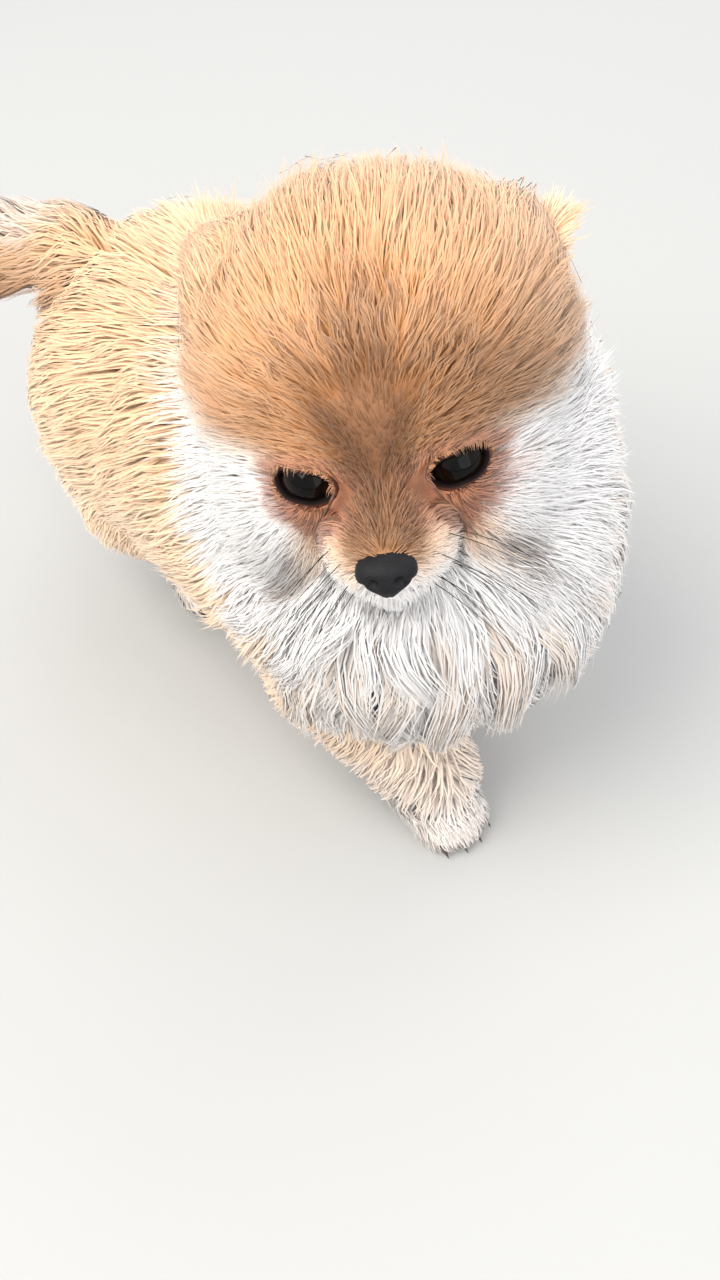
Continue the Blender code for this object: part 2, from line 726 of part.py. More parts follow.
def eye_ball(name, side, gap):
    """An eyeball, or with a gap the socket that holds it."""
    centre = on_head(-EYE_SET_BACK, EYE_SIDE * side, 0.0)
    axes = eye_axes(side)
    return make_object(name, *round_ball(centre, EYE_RADIUS + gap, 16, 9, axes))


def eye_axes(side):
    """Axes of one eye: across, up, and its gaze last."""
    gaze = np.array((0.95, 0.24 * side, 0.08)) @ HEAD_AXES
    gaze /= np.linalg.norm(gaze)
    across = np.cross(HEAD_AXES[2], gaze)
    across /= np.linalg.norm(across)
    return np.array((across, np.cross(gaze, across), gaze))


def eye_gap(side):
    """The almond opening between the lids, as a flared prism in front of the eyeball."""
    axes = eye_axes(side)
    centre = on_head(-EYE_SET_BACK, EYE_SIDE * side, 0.0)
    turns = 20
    points = []
    for depth, flare in ((0.2, 0.85), (1.6, 1.2)):
        for turn in range(turns):
            angle = 2.0 * math.pi * turn / turns
            across = EYE_OPENING[0] * math.cos(angle) * flare
            height = EYE_OPENING[1] * math.sin(angle) * (1.0 - 0.25 * math.cos(angle) ** 2) * flare
            points.append(centre + np.array((across, height, depth)) @ axes)
    faces = [tuple(range(turns))[::-1], tuple(range(turns, 2 * turns))]
    for turn in range(turns):
        after = (turn + 1) % turns
        faces.append((turn, after, turns + after, turns + turn))
    return make_object("eye_gap", points, faces)


def mouth_blade():
    """A thin wedge that opens the line of the mouth round the muzzle between the lips."""
    turns = 14
    rows = []
    for turn in range(turns + 1):
        angle = math.radians(105.0) * (2.0 * turn / turns - 1.0)
        heading = np.array((math.cos(angle), math.sin(angle), 0.0)) @ HEAD_AXES
        start = on_head(MOUTH_MIDDLE[0], MOUTH_MIDDLE[1], MOUTH_MIDDLE[2] + 0.12 * math.cos(angle))
        reaches = np.linspace(0.0, 4.0, 161)
        outside = BODY_FIELD(start + reaches[:, None] * heading, CORE_SHARE) > 0.0
        skin = reaches[outside.argmax()]
        for reach, half in ((skin - MOUTH_DEPTH, 0.015), (skin + 0.3, 0.13)):
            for up in (-half, half):
                rows.append(start + heading * reach + HEAD_AXES[2] * up)
    faces = [(0, 2, 3, 1), (4 * turns, 4 * turns + 1, 4 * turns + 3, 4 * turns + 2)]
    for turn in range(turns):
        base = 4 * turn
        for near, far in ((0, 1), (1, 3), (3, 2), (2, 0)):
            faces.append((base + near, base + far, base + far + 4, base + near + 4))
    return make_object("mouth_blade", rows, faces)


def nose_shape(name, gap):
    """The nose leather: a rounded wedge, broad above and narrow below."""
    centre = on_head(2.72, 0.0, -1.12)
    points, faces = round_ball(np.zeros(3), 1.0, 16, 9)
    points = np.array(points)
    up = points[:, 2]
    size = np.array((0.52, 0.74, 0.56))
    taper = 1.0 - 0.32 * np.clip(-up, 0.0, 1.0) ** 1.5
    local = points * size
    local[:, 1] *= taper
    local[:, 0] -= 0.16 * np.clip(up, 0.0, 1.0)
    outward = points / np.linalg.norm(points, axis=1)[:, None]
    local += outward * gap
    return make_object(name, centre + local @ HEAD_AXES, faces)


def build_nose():
    """Nose leather with two nostrils."""
    nose = nose_shape("nose", 0.0)
    nostrils = []
    for side in (-1, 1):
        place = on_head(3.16, 0.33 * side, -1.18)
        tilt = np.array((0.75, 0.66 * side, -0.1)) @ HEAD_AXES
        tilt /= np.linalg.norm(tilt)
        across = np.cross(HEAD_AXES[2], tilt)
        across /= np.linalg.norm(across)
        axes = np.array((across, np.cross(tilt, across), tilt))
        nostrils.append(make_object("nostril", *round_ball(place, 0.17, 12, 8, axes,
                                                          (1.0, 0.75, 1.6))))
    combine(nose, nostrils, "DIFFERENCE")
    keep_largest(nose)
    return finish(nose, NOSE_BLACK, 0.4)


def ear_shape(name, side, gap):
    """One ear: a pointed cup that opens forward, with a thick root sunk in the head."""
    root = on_head(EAR_ROOT[0], EAR_ROOT[1] * side, EAR_ROOT[2])
    tip = on_head(*EAR_TIPS["left" if side > 0 else "right"])
    along = tip - root
    length = np.linalg.norm(along)
    along /= length
    face = np.array((EAR_FACING[0], EAR_FACING[1] * side, EAR_FACING[2])) @ HEAD_AXES
    face -= along * (face @ along)
    face /= np.linalg.norm(face)
    across = np.cross(along, face)
    hollow = 1.0 if gap > 0.0 else -EAR_HOLLOW
    points = []
    for step in range(EAR_STEPS):
        part = step / EAR_STEPS
        wide = EAR_HALF_WIDTH * (1.0 - part**2.6) ** 0.9 * (0.72 + 0.28 * min(1.0, 3.0 * part)) + gap
        thick = EAR_THICKNESS * (1.0 - part) ** 0.6 + EAR_EDGE + gap
        for turn in range(EAR_TURNS):
            angle = 2.0 * math.pi * turn / EAR_TURNS
            curl = EAR_CURL * wide * math.cos(angle) ** 2
            depth = thick * math.sin(angle)
            inside = hollow if depth < 0.0 else 1.0
            points.append(root + along * length * part + across * wide * math.cos(angle)
                          + face * (curl - depth * inside))
    points.append(tip + along * gap)
    last = len(points) - 1
    faces = [(0, turn + 1, turn) for turn in range(1, EAR_TURNS - 1)]
    for step in range(EAR_STEPS - 1):
        for turn in range(EAR_TURNS):
            near = step * EAR_TURNS + turn
            after = step * EAR_TURNS + (turn + 1) % EAR_TURNS
            if turn < EAR_TURNS // 2:
                faces += [(near, after, after + EAR_TURNS), (near, after + EAR_TURNS, near + EAR_TURNS)]
            else:
                faces += [(near, after, near + EAR_TURNS), (after, after + EAR_TURNS, near + EAR_TURNS)]
    base = (EAR_STEPS - 1) * EAR_TURNS
    faces += [(base + turn, base + (turn + 1) % EAR_TURNS, last) for turn in range(EAR_TURNS)]
    return make_object(name, points, faces)


def build_tail():
    """The tail's plume, from the cut at the rump to its tip."""
    field = within(TAIL_FIELD, CORE_SHARE, ((TAIL_PLANE, 1, 0.6),))
    points, faces = surface(field, (-10, 4, 8), (4, 15, 17), 0.4)
    tail = make_object("tail", points, faces)
    thin_out(tail, TRIANGLES["tail"])

    def allowed(places):
        return side_of(TAIL_PLANE, places) > 0.1

    roots = lock_roots(points, TAIL_FIELD, LOCKS["tail"], 0.3, allowed)
    lay_locks(tail, "tail", TAIL_FIELD, roots, lie_of_tail, LOCKS["tail"])
    cutters = clearings("torso", lambda places: side_of(TAIL_PLANE, places) > -GAP)
    combine(tail, [slab(TAIL_PLANE, -1), *cutters], "DIFFERENCE")
    keep_largest(tail)
    return finish(tail, COAT_TAN, 0.9)


def build_leg(pair, side):
    """One leg with its paw, cut from the body by its wedge and flat on the floor."""
    low = (-9, -12, -1) if pair == "front" else (-9, 0, -1)
    high = (9, 1, 11) if pair == "front" else (9, 14, 11)
    sign = 1 if side == "left" else -1
    middle = (np.zeros(3), np.array((sign, 0.0, 0.0)))
    field = within(LEG_FIELDS[pair, side], CORE_SHARE, ((middle, 1, 0.5),))
    points, faces = surface(field, low, high, 0.33)
    leg = make_object(f"leg_{pair}_{side}", points, faces)
    thin_out(leg, TRIANGLES["leg"])

    def allowed(places):
        free = in_leg_wedge(places, pair, -0.1) & (sign * places[:, 0] > 0.3)
        return free & (places[:, 2] > 2.6)

    size = LOCKS[f"leg_{pair}"]
    roots = lock_roots(points, LEG_FIELDS[pair, side], size, 0.2, allowed)
    lay_locks(leg, leg.name, LEG_FIELDS[pair, side], roots, lie_of_leg, size)
    combine(leg, [leg_block(pair, side, -0.5 * GAP, 0.0)], "INTERSECT")
    cutters = clearings("torso", lambda places: in_leg_wedge(places, pair, LOCK_REACH)
                        & (sign * places[:, 0] > -LOCK_REACH))
    combine(leg, cutters, "DIFFERENCE")
    keep_largest(leg)
    return finish(leg, COAT_CREAM, 0.9)


def build_all():
    """Every node, with the origin at the middle of the box's underside."""
    for old in list(bpy.data.objects):
        bpy.data.objects.remove(old)
    nodes = [build_head(), build_neck(), build_torso(), build_nose(), build_tail()]
    for side, name in ((-1, "right"), (1, "left")):
        nodes.append(finish(eye_ball(f"eye_{name}", side, 0.0), EYE_BROWN, 0.1))
        nodes.append(finish(ear_shape(f"ear_{name}", side, 0.0), COAT_TAN, 0.9))
    nodes += [build_leg(pair, side) for pair, side in LEG_FIELDS]
    corners = np.array([point.co for node in nodes for point in node.data.vertices])
    middle = 0.5 * (corners.min(axis=0) + corners.max(axis=0))
    for node in nodes:
        node.data.transform(Matrix.Translation((-middle[0], -middle[1], 0.0)))
        node.data.update()


build_all()
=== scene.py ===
"""A pomeranian puppy at life size: skin, long fluffy coat, eyes, nose, ears, whiskers and claws.

The body is a set of balls and rods that melt into each other. Each has its size at the skin and
its size at the tips of the coat, and they are read on one grid at three layers: skin, half way
and tips. The skin is the zero surface of the first layer, and where the coat is long its dense
down fills the body out to the half way layer. Every tuft starts there and follows the lie of the
hair while it rises to the last layer. Lengths are in centimetres
in the puppy's own frame, and each mesh is moved to the frame of the solids when it is made.
"""

import math

import bpy
import numpy as np
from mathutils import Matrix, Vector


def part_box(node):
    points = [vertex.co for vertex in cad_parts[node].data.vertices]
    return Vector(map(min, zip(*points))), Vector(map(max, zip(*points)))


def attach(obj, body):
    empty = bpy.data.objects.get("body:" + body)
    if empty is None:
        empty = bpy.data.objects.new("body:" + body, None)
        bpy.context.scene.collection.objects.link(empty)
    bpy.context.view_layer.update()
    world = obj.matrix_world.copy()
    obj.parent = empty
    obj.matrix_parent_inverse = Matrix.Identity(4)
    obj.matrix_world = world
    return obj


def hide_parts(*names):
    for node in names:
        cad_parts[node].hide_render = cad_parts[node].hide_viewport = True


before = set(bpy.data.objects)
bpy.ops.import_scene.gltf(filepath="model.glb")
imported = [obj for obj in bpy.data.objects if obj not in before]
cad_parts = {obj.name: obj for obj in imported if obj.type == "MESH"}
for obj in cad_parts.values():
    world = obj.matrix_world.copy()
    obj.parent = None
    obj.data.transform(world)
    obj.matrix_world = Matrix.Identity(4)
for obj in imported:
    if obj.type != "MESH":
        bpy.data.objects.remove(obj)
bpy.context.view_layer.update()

CM = 0.01
BODY = "root"

EYES_MIDDLE = np.array((-2.8, -6.6, 14.5))
HEAD_TURN = math.radians(-42.5)
HEAD_LIFT = math.radians(18.3)
HEAD_TILT = math.radians(9.7)

EYE_RADIUS = 0.85
EYE_SIDE = 1.75
EYE_SET_BACK = 0.46
LID_THICKNESS = 0.14
EYE_TILT = math.radians(13.0)
LID_WIDE = math.radians(40.0)
LID_HIGH = math.radians(22.5)
LID_SPREAD = 0.5

EAR_ROOT = (-3.6, 2.1, 1.9)
EAR_HALF_WIDTH = 1.3
EAR_TIPS = {-1: (-6.2, -4.3, 5.0), 1: (-5.9, 5.0, 4.1)}

FRONT_PAWS = {-1: (-1.6, -8.5), 1: (2.3, -3.8)}
HIND_PAWS = {-1: (-1.6, 4.4), 1: (3.1, 8.4)}
TRUNK = ((0.1, -4.9, 8.8), (0.0, 5.1, 8.7), (3.7, 3.5), (5.95, 5.75))
TAIL_COURSE = ((-1.0, 7.9, 11.2), (-2.3, 9.3, 12.2), (-4.3, 10.4, 12.7), (-7.0, 10.9, 12.3))
TAIL_SKIN = (0.9, 0.6, 0.45, 0.25)
TAIL_COAT = (1.5, 1.5, 1.5, 0.85)

CAMERA_RISE = math.radians(50.0)
CAMERA_ROUND = math.radians(-40.0)
FOCAL_PIXELS = 1400.0
PICTURE = (720, 1280)
EYES_PIXEL = (382.0, 474.0)
EYES_DEPTH = 34.27


def head_axes():
    """Forward, left and up of the turned, raised and tilted head."""
    sine_lift, cosine_lift = math.sin(HEAD_LIFT), math.cos(HEAD_LIFT)
    sine_turn, cosine_turn = math.sin(HEAD_TURN), math.cos(HEAD_TURN)
    forward = np.array((sine_turn * cosine_lift, -cosine_turn * cosine_lift, sine_lift))
    level_left = np.array((cosine_turn, sine_turn, 0.0))
    level_up = np.array((-sine_lift * sine_turn, sine_lift * cosine_turn, cosine_lift))
    left = level_left * math.cos(HEAD_TILT) + level_up * math.sin(HEAD_TILT)
    up = level_up * math.cos(HEAD_TILT) - level_left * math.sin(HEAD_TILT)
    return np.array((forward, left, up))


HEAD_AXES = head_axes()
LEVEL = np.eye(3)


def on_head(forward, left, up):
    """A place given from the middle between the eyes, along the head's own axes."""
    return EYES_MIDDLE + np.array((forward, left, up)) @ HEAD_AXES


def head_places(points):
    """Forward, left and up of points, from the middle between the eyes."""
    return (points - EYES_MIDDLE) @ HEAD_AXES.T


def eye_centre(side):
    return on_head(-EYE_SET_BACK, EYE_SIDE * side, 0.0)


def eye_axes(side):
    """Axes of one eye: across, up, and its gaze last."""
    gaze = np.array((0.95, 0.24 * side, 0.08)) @ HEAD_AXES
    gaze /= np.linalg.norm(gaze)
    across = np.cross(HEAD_AXES[2], gaze)
    across /= np.linalg.norm(across)
    return np.array((across, np.cross(gaze, across), gaze))


def lid_edge(turn, side):
    """Angle from the gaze to the rim of the lids: an almond, pointed at its two corners."""
    outer = np.maximum(side * np.cos(turn), 0.0) ** 9
    inner = np.maximum(-side * np.cos(turn), 0.0) ** 9
    return LID_HIGH + (LID_WIDE - LID_HIGH) * np.abs(np.cos(turn)) ** 2.2 + 0.2 * outer + 0.16 * inner


def eye_places(points, side):
    """How far points lie outside the rim of the lids, along the eyeball, and from its middle."""
    local = (points - eye_centre(side)) @ eye_axes(side).T
    turn = np.arctan2(local[..., 1], local[..., 0]) - side * EYE_TILT
    polar = np.arctan2(np.hypot(local[..., 0], local[..., 1]), local[..., 2])
    return (polar - lid_edge(turn, side)) * EYE_RADIUS, np.linalg.norm(local, axis=-1)


def solids_shift():
    """From the puppy's own frame to that of the solids, found from the eyeballs, in centimetres."""
    boxes = [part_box(name) for name in ("eye_left", "eye_right")]
    middle = np.mean([[np.array(low), np.array(high)] for low, high in boxes], axis=(0, 1))
    return middle / CM - 0.5 * (eye_centre(-1) + eye_centre(1))


SHIFT = solids_shift()


def smooth(value, start, stop):
    """0 before start, 1 past stop, eased between."""
    part = np.clip((value - start) / (stop - start), 0.0, 1.0)
    return part * part * (3.0 - 2.0 * part)


def unit(vectors):
    return vectors / np.maximum(np.linalg.norm(vectors, axis=-1, keepdims=True), 1e-9)


# Masses


def ball(centre, radii, coat_centre, coat_radii, axes=LEVEL):
    """An ellipsoid: distance is about r (r - 1) / |slope of r|, r being 1 on its surface."""
    ends = [np.array(value, float) for value in (centre, radii, coat_centre, coat_radii)]

    def distance(points, share):
        middle = ends[0] + share * (ends[2] - ends[0])
        size = ends[1] + share * (ends[3] - ends[1])
        local = (points - middle) @ axes.T
        reach = np.linalg.norm(local / size, axis=-1)
        slope = np.linalg.norm(local / size**2, axis=-1)
        return reach * (reach - 1.0) / np.maximum(slope, 1e-9)

    size = max(ends[1].max(), ends[3].max())
    low = np.minimum(ends[0], ends[2]) - size
    high = np.maximum(ends[0], ends[2]) + size
    return distance, low, high


def rod(start, end, skin, coat):
    """A round rod: distance to its middle line less a radius that goes evenly along it."""
    start, end = np.array(start, float), np.array(end, float)
    along = end - start

    def distance(points, share):
        radii = np.array(skin) + share * (np.array(coat) - np.array(skin))
        part = np.clip((points - start) @ along / (along @ along), 0.0, 1.0)
        nearest = start + part[..., None] * along
        return np.linalg.norm(points - nearest, axis=-1) - radii[0] - part * (radii[1] - radii[0])

    size = max(*skin, *coat)
    return distance, np.minimum(start, end) - size, np.maximum(start, end) + size


def head_masses():
    masses = [
        ball(on_head(-2.6, 0, 0.9), (3.1, 2.8, 2.7),
             on_head(-4.3, 0.1, 1.5), (4.9, 5.7, 5.3), HEAD_AXES),
        ball(on_head(-1.0, 0, 0.6), (1.7, 2.2, 1.7),
             on_head(-1.3, 0, 0.95), (2.25, 3.0, 2.2), HEAD_AXES),
        rod(on_head(0.0, 0, -0.9), on_head(2.15, 0, -1.3), (1.25, 0.8), (1.75, 1.02)),
        rod(on_head(-0.6, 0, -2.1), on_head(1.55, 0, -2.15), (0.95, 0.55), (1.4, 0.8)),
    ]
    for side in (-1, 1):
        masses.append(ball(on_head(-1.2, 1.75 * side, -0.8), (1.6, 1.0, 1.3),
                           on_head(-2.5, 2.9 * side, -1.2), (2.4, 2.2, 2.6), HEAD_AXES))
        masses.append(ball(on_head(1.3, 0.7 * side, -1.45), (0.8, 0.6, 0.6),
                           on_head(1.1, 0.8 * side, -1.5), (1.25, 0.85, 0.85), HEAD_AXES))
        tuft = on_head(-5.6, 3.6, 3.9) if side > 0 else on_head(-6.0, -4.6, 4.8)
        masses.append(ball(on_head(-3.4, 2.0 * side, 2.2), (1.0, 0.8, 0.8),
                           tuft, (1.9, 1.9, 2.0), HEAD_AXES))
        lid = EYE_RADIUS + LID_THICKNESS
        masses.append(ball(eye_centre(side), [lid] * 3, eye_centre(side), [lid + 0.04] * 3))
    return masses


def neck_masses():
    return [
        rod(on_head(-3.6, 0, -0.8), (0.0, -4.6, 9.6), (2.2, 3.3), (4.2, 4.6)),
        ball((0.1, -5.4, 9.8), (3.1, 2.9, 3.4), (0.3, -5.6, 10.3), (5.6, 4.6, 5.2)),
        ball((1.2, -4.6, 11.0), (2.4, 2.4, 2.4), (3.0, -4.4, 12.4), (3.9, 3.6, 3.6)),
    ]


def trunk_masses():
    masses = [rod(*TRUNK)]
    for side in (-1, 1):
        masses.append(rod((2.3 * side, -5.2, 8.0), (2.2 * side, -4.8, 5.6), (1.7, 1.2), (2.6, 2.1)))
        lean = (HIND_PAWS[side][1] - 6.5) * 0.25
        masses.append(rod((2.1 * side, 6.0, 8.4), (2.9 * side, 5.6 + lean, 5.6), (2.4, 1.7),
                          (3.4, 2.5)))
    return masses


def toe_places(across, along):
    """Middle of each toe of a paw, and how far it is spread."""
    places = []
    for toe in range(4):
        spread = (toe - 1.5) * 0.52
        reach = 0.62 - 0.16 * abs(toe - 1.5) ** 1.5
        places.append((across + spread, along - reach, spread))
    return places


def paw_masses(across, along):
    masses = [ball((across, along + 0.25, 0.85), (1.0, 1.15, 0.85),
                   (across, along + 0.3, 0.95), (1.25, 1.4, 1.1))]
    for x, y, spread in toe_places(across, along):
        masses.append(ball((x, y, 0.42), (0.34, 0.62, 0.46),
                           (x + 0.12 * spread, y - 0.12, 0.5), (0.42, 0.74, 0.6)))
    return masses


def leg_masses():
    masses = []
    for side in (-1, 1):
        across, along = FRONT_PAWS[side]
        masses.append(rod((2.2 * side, -4.8, 5.6), (across, along + 0.75, 1.9), (1.2, 0.78), (3.1, 1.8)))
        masses += paw_masses(across, along)
        across, along = HIND_PAWS[side]
        hock = (across, along + 2.1, 3.1)
        knee = (2.9 * side, 5.6 + (along - 6.5) * 0.25, 5.6)
        masses.append(rod(knee, hock, (1.5, 0.8), (2.3, 1.4)))
        masses.append(rod(hock, (across, along + 0.7, 1.2), (0.75, 0.75), (1.2, 1.0)))
        masses += paw_masses(across, along)
    return masses


def tail_masses():
    return [rod(TAIL_COURSE[step], TAIL_COURSE[step + 1], TAIL_SKIN[step:step + 2],
                TAIL_COAT[step:step + 2]) for step in range(len(TAIL_COURSE) - 1)]


# Layers on a grid

CELL = 0.2
GRID_LOW = np.array((-9.6, -13.4, -0.8))
GRID_HIGH = np.array((8.8, 13.4, 21.4))
GRID_TICKS = [np.arange(low, high, CELL) for low, high in zip(GRID_LOW, GRID_HIGH)]
GRID_SHAPE = tuple(len(ticks) for ticks in GRID_TICKS)
MARGIN = 1.8


def melt(first, second, width):
    """The smaller of two distances, with a fillet of the given width."""
    mix = np.clip(0.5 + 0.5 * (second - first) / width, 0.0, 1.0)
    return second + mix * (first - second) - width * mix * (1.0 - mix)


def lay(value, masses, width, share):
    """Masses melted one by one into the grid's values near them."""
    for distance, low, high in masses:
        first = np.maximum((low - MARGIN - GRID_LOW) / CELL, 0).astype(int)
        last = ((high + MARGIN - GRID_LOW) / CELL).astype(int) + 2
        span = tuple(slice(a, b) for a, b in zip(first, last))
        ticks = [axis[part] for axis, part in zip(GRID_TICKS, span)]
        points = np.stack(np.meshgrid(*ticks, indexing="ij"), axis=-1)
        value[span] = melt(value[span], distance(points, share), width)
    return value


def layer(share):
    """Distance to the whole body at one share of the coat, on the grid."""
    far = np.full(GRID_SHAPE, 6.0)
    barrel = lay(far.copy(), trunk_masses() + neck_masses(), 1.4, share)
    head = lay(far, head_masses(), 0.6, share)
    body = melt(barrel, head, 0.7)
    body = lay(body, tail_masses(), 1.0, share)
    return lay(body, leg_masses(), 0.5, share)


def open_eyes(value):
    """The skin's layer with an opening in front of each eyeball, a little wider than the lids'."""
    points = np.stack(np.meshgrid(*GRID_TICKS, indexing="ij"), axis=-1)
    for side in (-1, 1):
        outside, radius = eye_places(points, side)
        cut = np.maximum(outside - 0.15, np.abs(radius - 1.2) - 0.48)
        value = np.maximum(value, -cut)
    return value


def read_grid(values, points):
    """Values between grid places, each the even mix of its eight corners."""
    place = (points - GRID_LOW) / CELL
    base = np.clip(np.floor(place).astype(int), 0, np.array(GRID_SHAPE) - 2)
    part = np.clip(place - base, 0.0, 1.0)
    total = 0.0
    for corner in range(8):
        step = np.array((corner >> 2 & 1, corner >> 1 & 1, corner & 1))
        weight = np.prod(np.where(step, part, 1.0 - part), axis=-1)
        at = base + step
        total = total + values[at[..., 0], at[..., 1], at[..., 2]] * weight[..., None]
    return total


SKIN_LAYER = layer(0.0)
CORE_LAYER = layer(0.5)
TIP_LAYER = layer(1.0)
LONG_COAT = smooth(SKIN_LAYER - TIP_LAYER, 0.6, 1.6)
DOWN_LAYER = SKIN_LAYER + LONG_COAT * (CORE_LAYER - SKIN_LAYER)
VOLUME = np.stack([DOWN_LAYER, CORE_LAYER, TIP_LAYER, *np.gradient(CORE_LAYER, CELL)], axis=-1)
SKIN, CORE, TIPS = 0, 1, 2


def slope_of(volume, points):
    return unit(volume[..., 3:6]) if points is None else unit(read_grid(volume, points)[..., 3:6])


def settle(points, level=CORE, rounds=2):
    """Points moved along the slope until they lie on one layer."""
    for _ in range(rounds):
        here = read_grid(VOLUME, points)
        points = points - unit(here[..., 3:6]) * np.clip(here[..., level:level + 1], -1.0, 1.0)
    return points


# Meshes


def new_mesh(name, points, triangles, normals=None):
    """A mesh object from centimetre points, moved to the frame of the solids, faces as given."""
    mesh = bpy.data.meshes.new(name)
    points = (points + SHIFT) * CM
    sides = triangles.shape[1]
    mesh.vertices.add(len(points))
    mesh.vertices.foreach_set("co", points.astype(np.float32).ravel())
    mesh.loops.add(triangles.size)
    mesh.loops.foreach_set("vertex_index", triangles.astype(np.int32).ravel())
    mesh.polygons.add(len(triangles))
    mesh.polygons.foreach_set("loop_start", np.arange(0, triangles.size, sides, dtype=np.int32))
    mesh.update(calc_edges=True)
    mesh.shade_smooth()
    if normals is not None:
        mesh.normals_split_custom_set_from_vertices(normals.astype(np.float32))
    thing = bpy.data.objects.new(name, mesh)
    bpy.context.scene.collection.objects.link(thing)
    return thing


def set_attribute(thing, name, kind, values):
    """One value for each vertex, as the materials read them."""
    made = thing.data.attributes.new(name, kind, "POINT")
    field = {"FLOAT": "value", "FLOAT_COLOR": "color"}[kind]
    made.data.foreach_set(field, values.astype(np.float32).ravel())


def grid_faces(rows, columns, closed_columns=True):
    """Quads of a grid of points, row by row, the last column joined to the first if closed."""
    row = np.arange(rows - 1)[:, None]
    column = np.arange(columns if closed_columns else columns - 1)[None, :]
    after = (column + 1) % columns
    corners = [row * columns + column, row * columns + after,
               (row + 1) * columns + after, (row + 1) * columns + column]
    return np.stack([np.broadcast_to(c, np.broadcast_shapes(row.shape, column.shape)) for c in corners],
                    axis=-1).reshape(-1, 4)


def zero_surface(value):
    """Closed mesh of a layer's zero surface: one point in each crossed cell, four to a face."""
    inside = value < 0.0
    cells = tuple(size - 1 for size in value.shape)
    corner = [inside[i:i + cells[0], j:j + cells[1], k:k + cells[2]]
              for i in (0, 1) for j in (0, 1) for k in (0, 1)]
    crossed = np.any(corner, axis=0) & ~np.all(corner, axis=0)
    number = np.full(cells, -1)
    number[crossed] = np.arange(np.count_nonzero(crossed))
    points = GRID_LOW + (np.argwhere(crossed) + 0.5) * CELL
    start = points.copy()
    steps = np.stack([value, *np.gradient(value, CELL)], axis=-1)
    for _ in range(6):
        here = read_grid(steps, points)
        slope = here[..., 1:4]
        move = -here[..., :1] / np.maximum((slope**2).sum(axis=-1, keepdims=True), 0.2)
        points = points + slope * np.clip(move, -0.5 * CELL, 0.5 * CELL)
        points = np.clip(points, start - 0.7 * CELL, start + 0.7 * CELL)
    faces = []
    for axis in range(3):
        along = [slice(None)] * 3
        beyond = [slice(None)] * 3
        along[axis], beyond[axis] = slice(0, -1), slice(1, None)
        first_in, second_in = inside[tuple(along)], inside[tuple(beyond)]
        for flip in (False, True):
            place = np.argwhere((~first_in & second_in) if flip else (first_in & ~second_in))
            one, two = (axis + 1) % 3, (axis + 2) % 3
            ring = []
            for move_one, move_two in ((-1, -1), (0, -1), (0, 0), (-1, 0)):
                around = place.copy()
                around[:, one] += move_one
                around[:, two] += move_two
                ring.append(number[tuple(around.T)])
            faces.append(np.stack(ring[::-1] if flip else ring, axis=1))
    return points, np.concatenate(faces)


# Markings


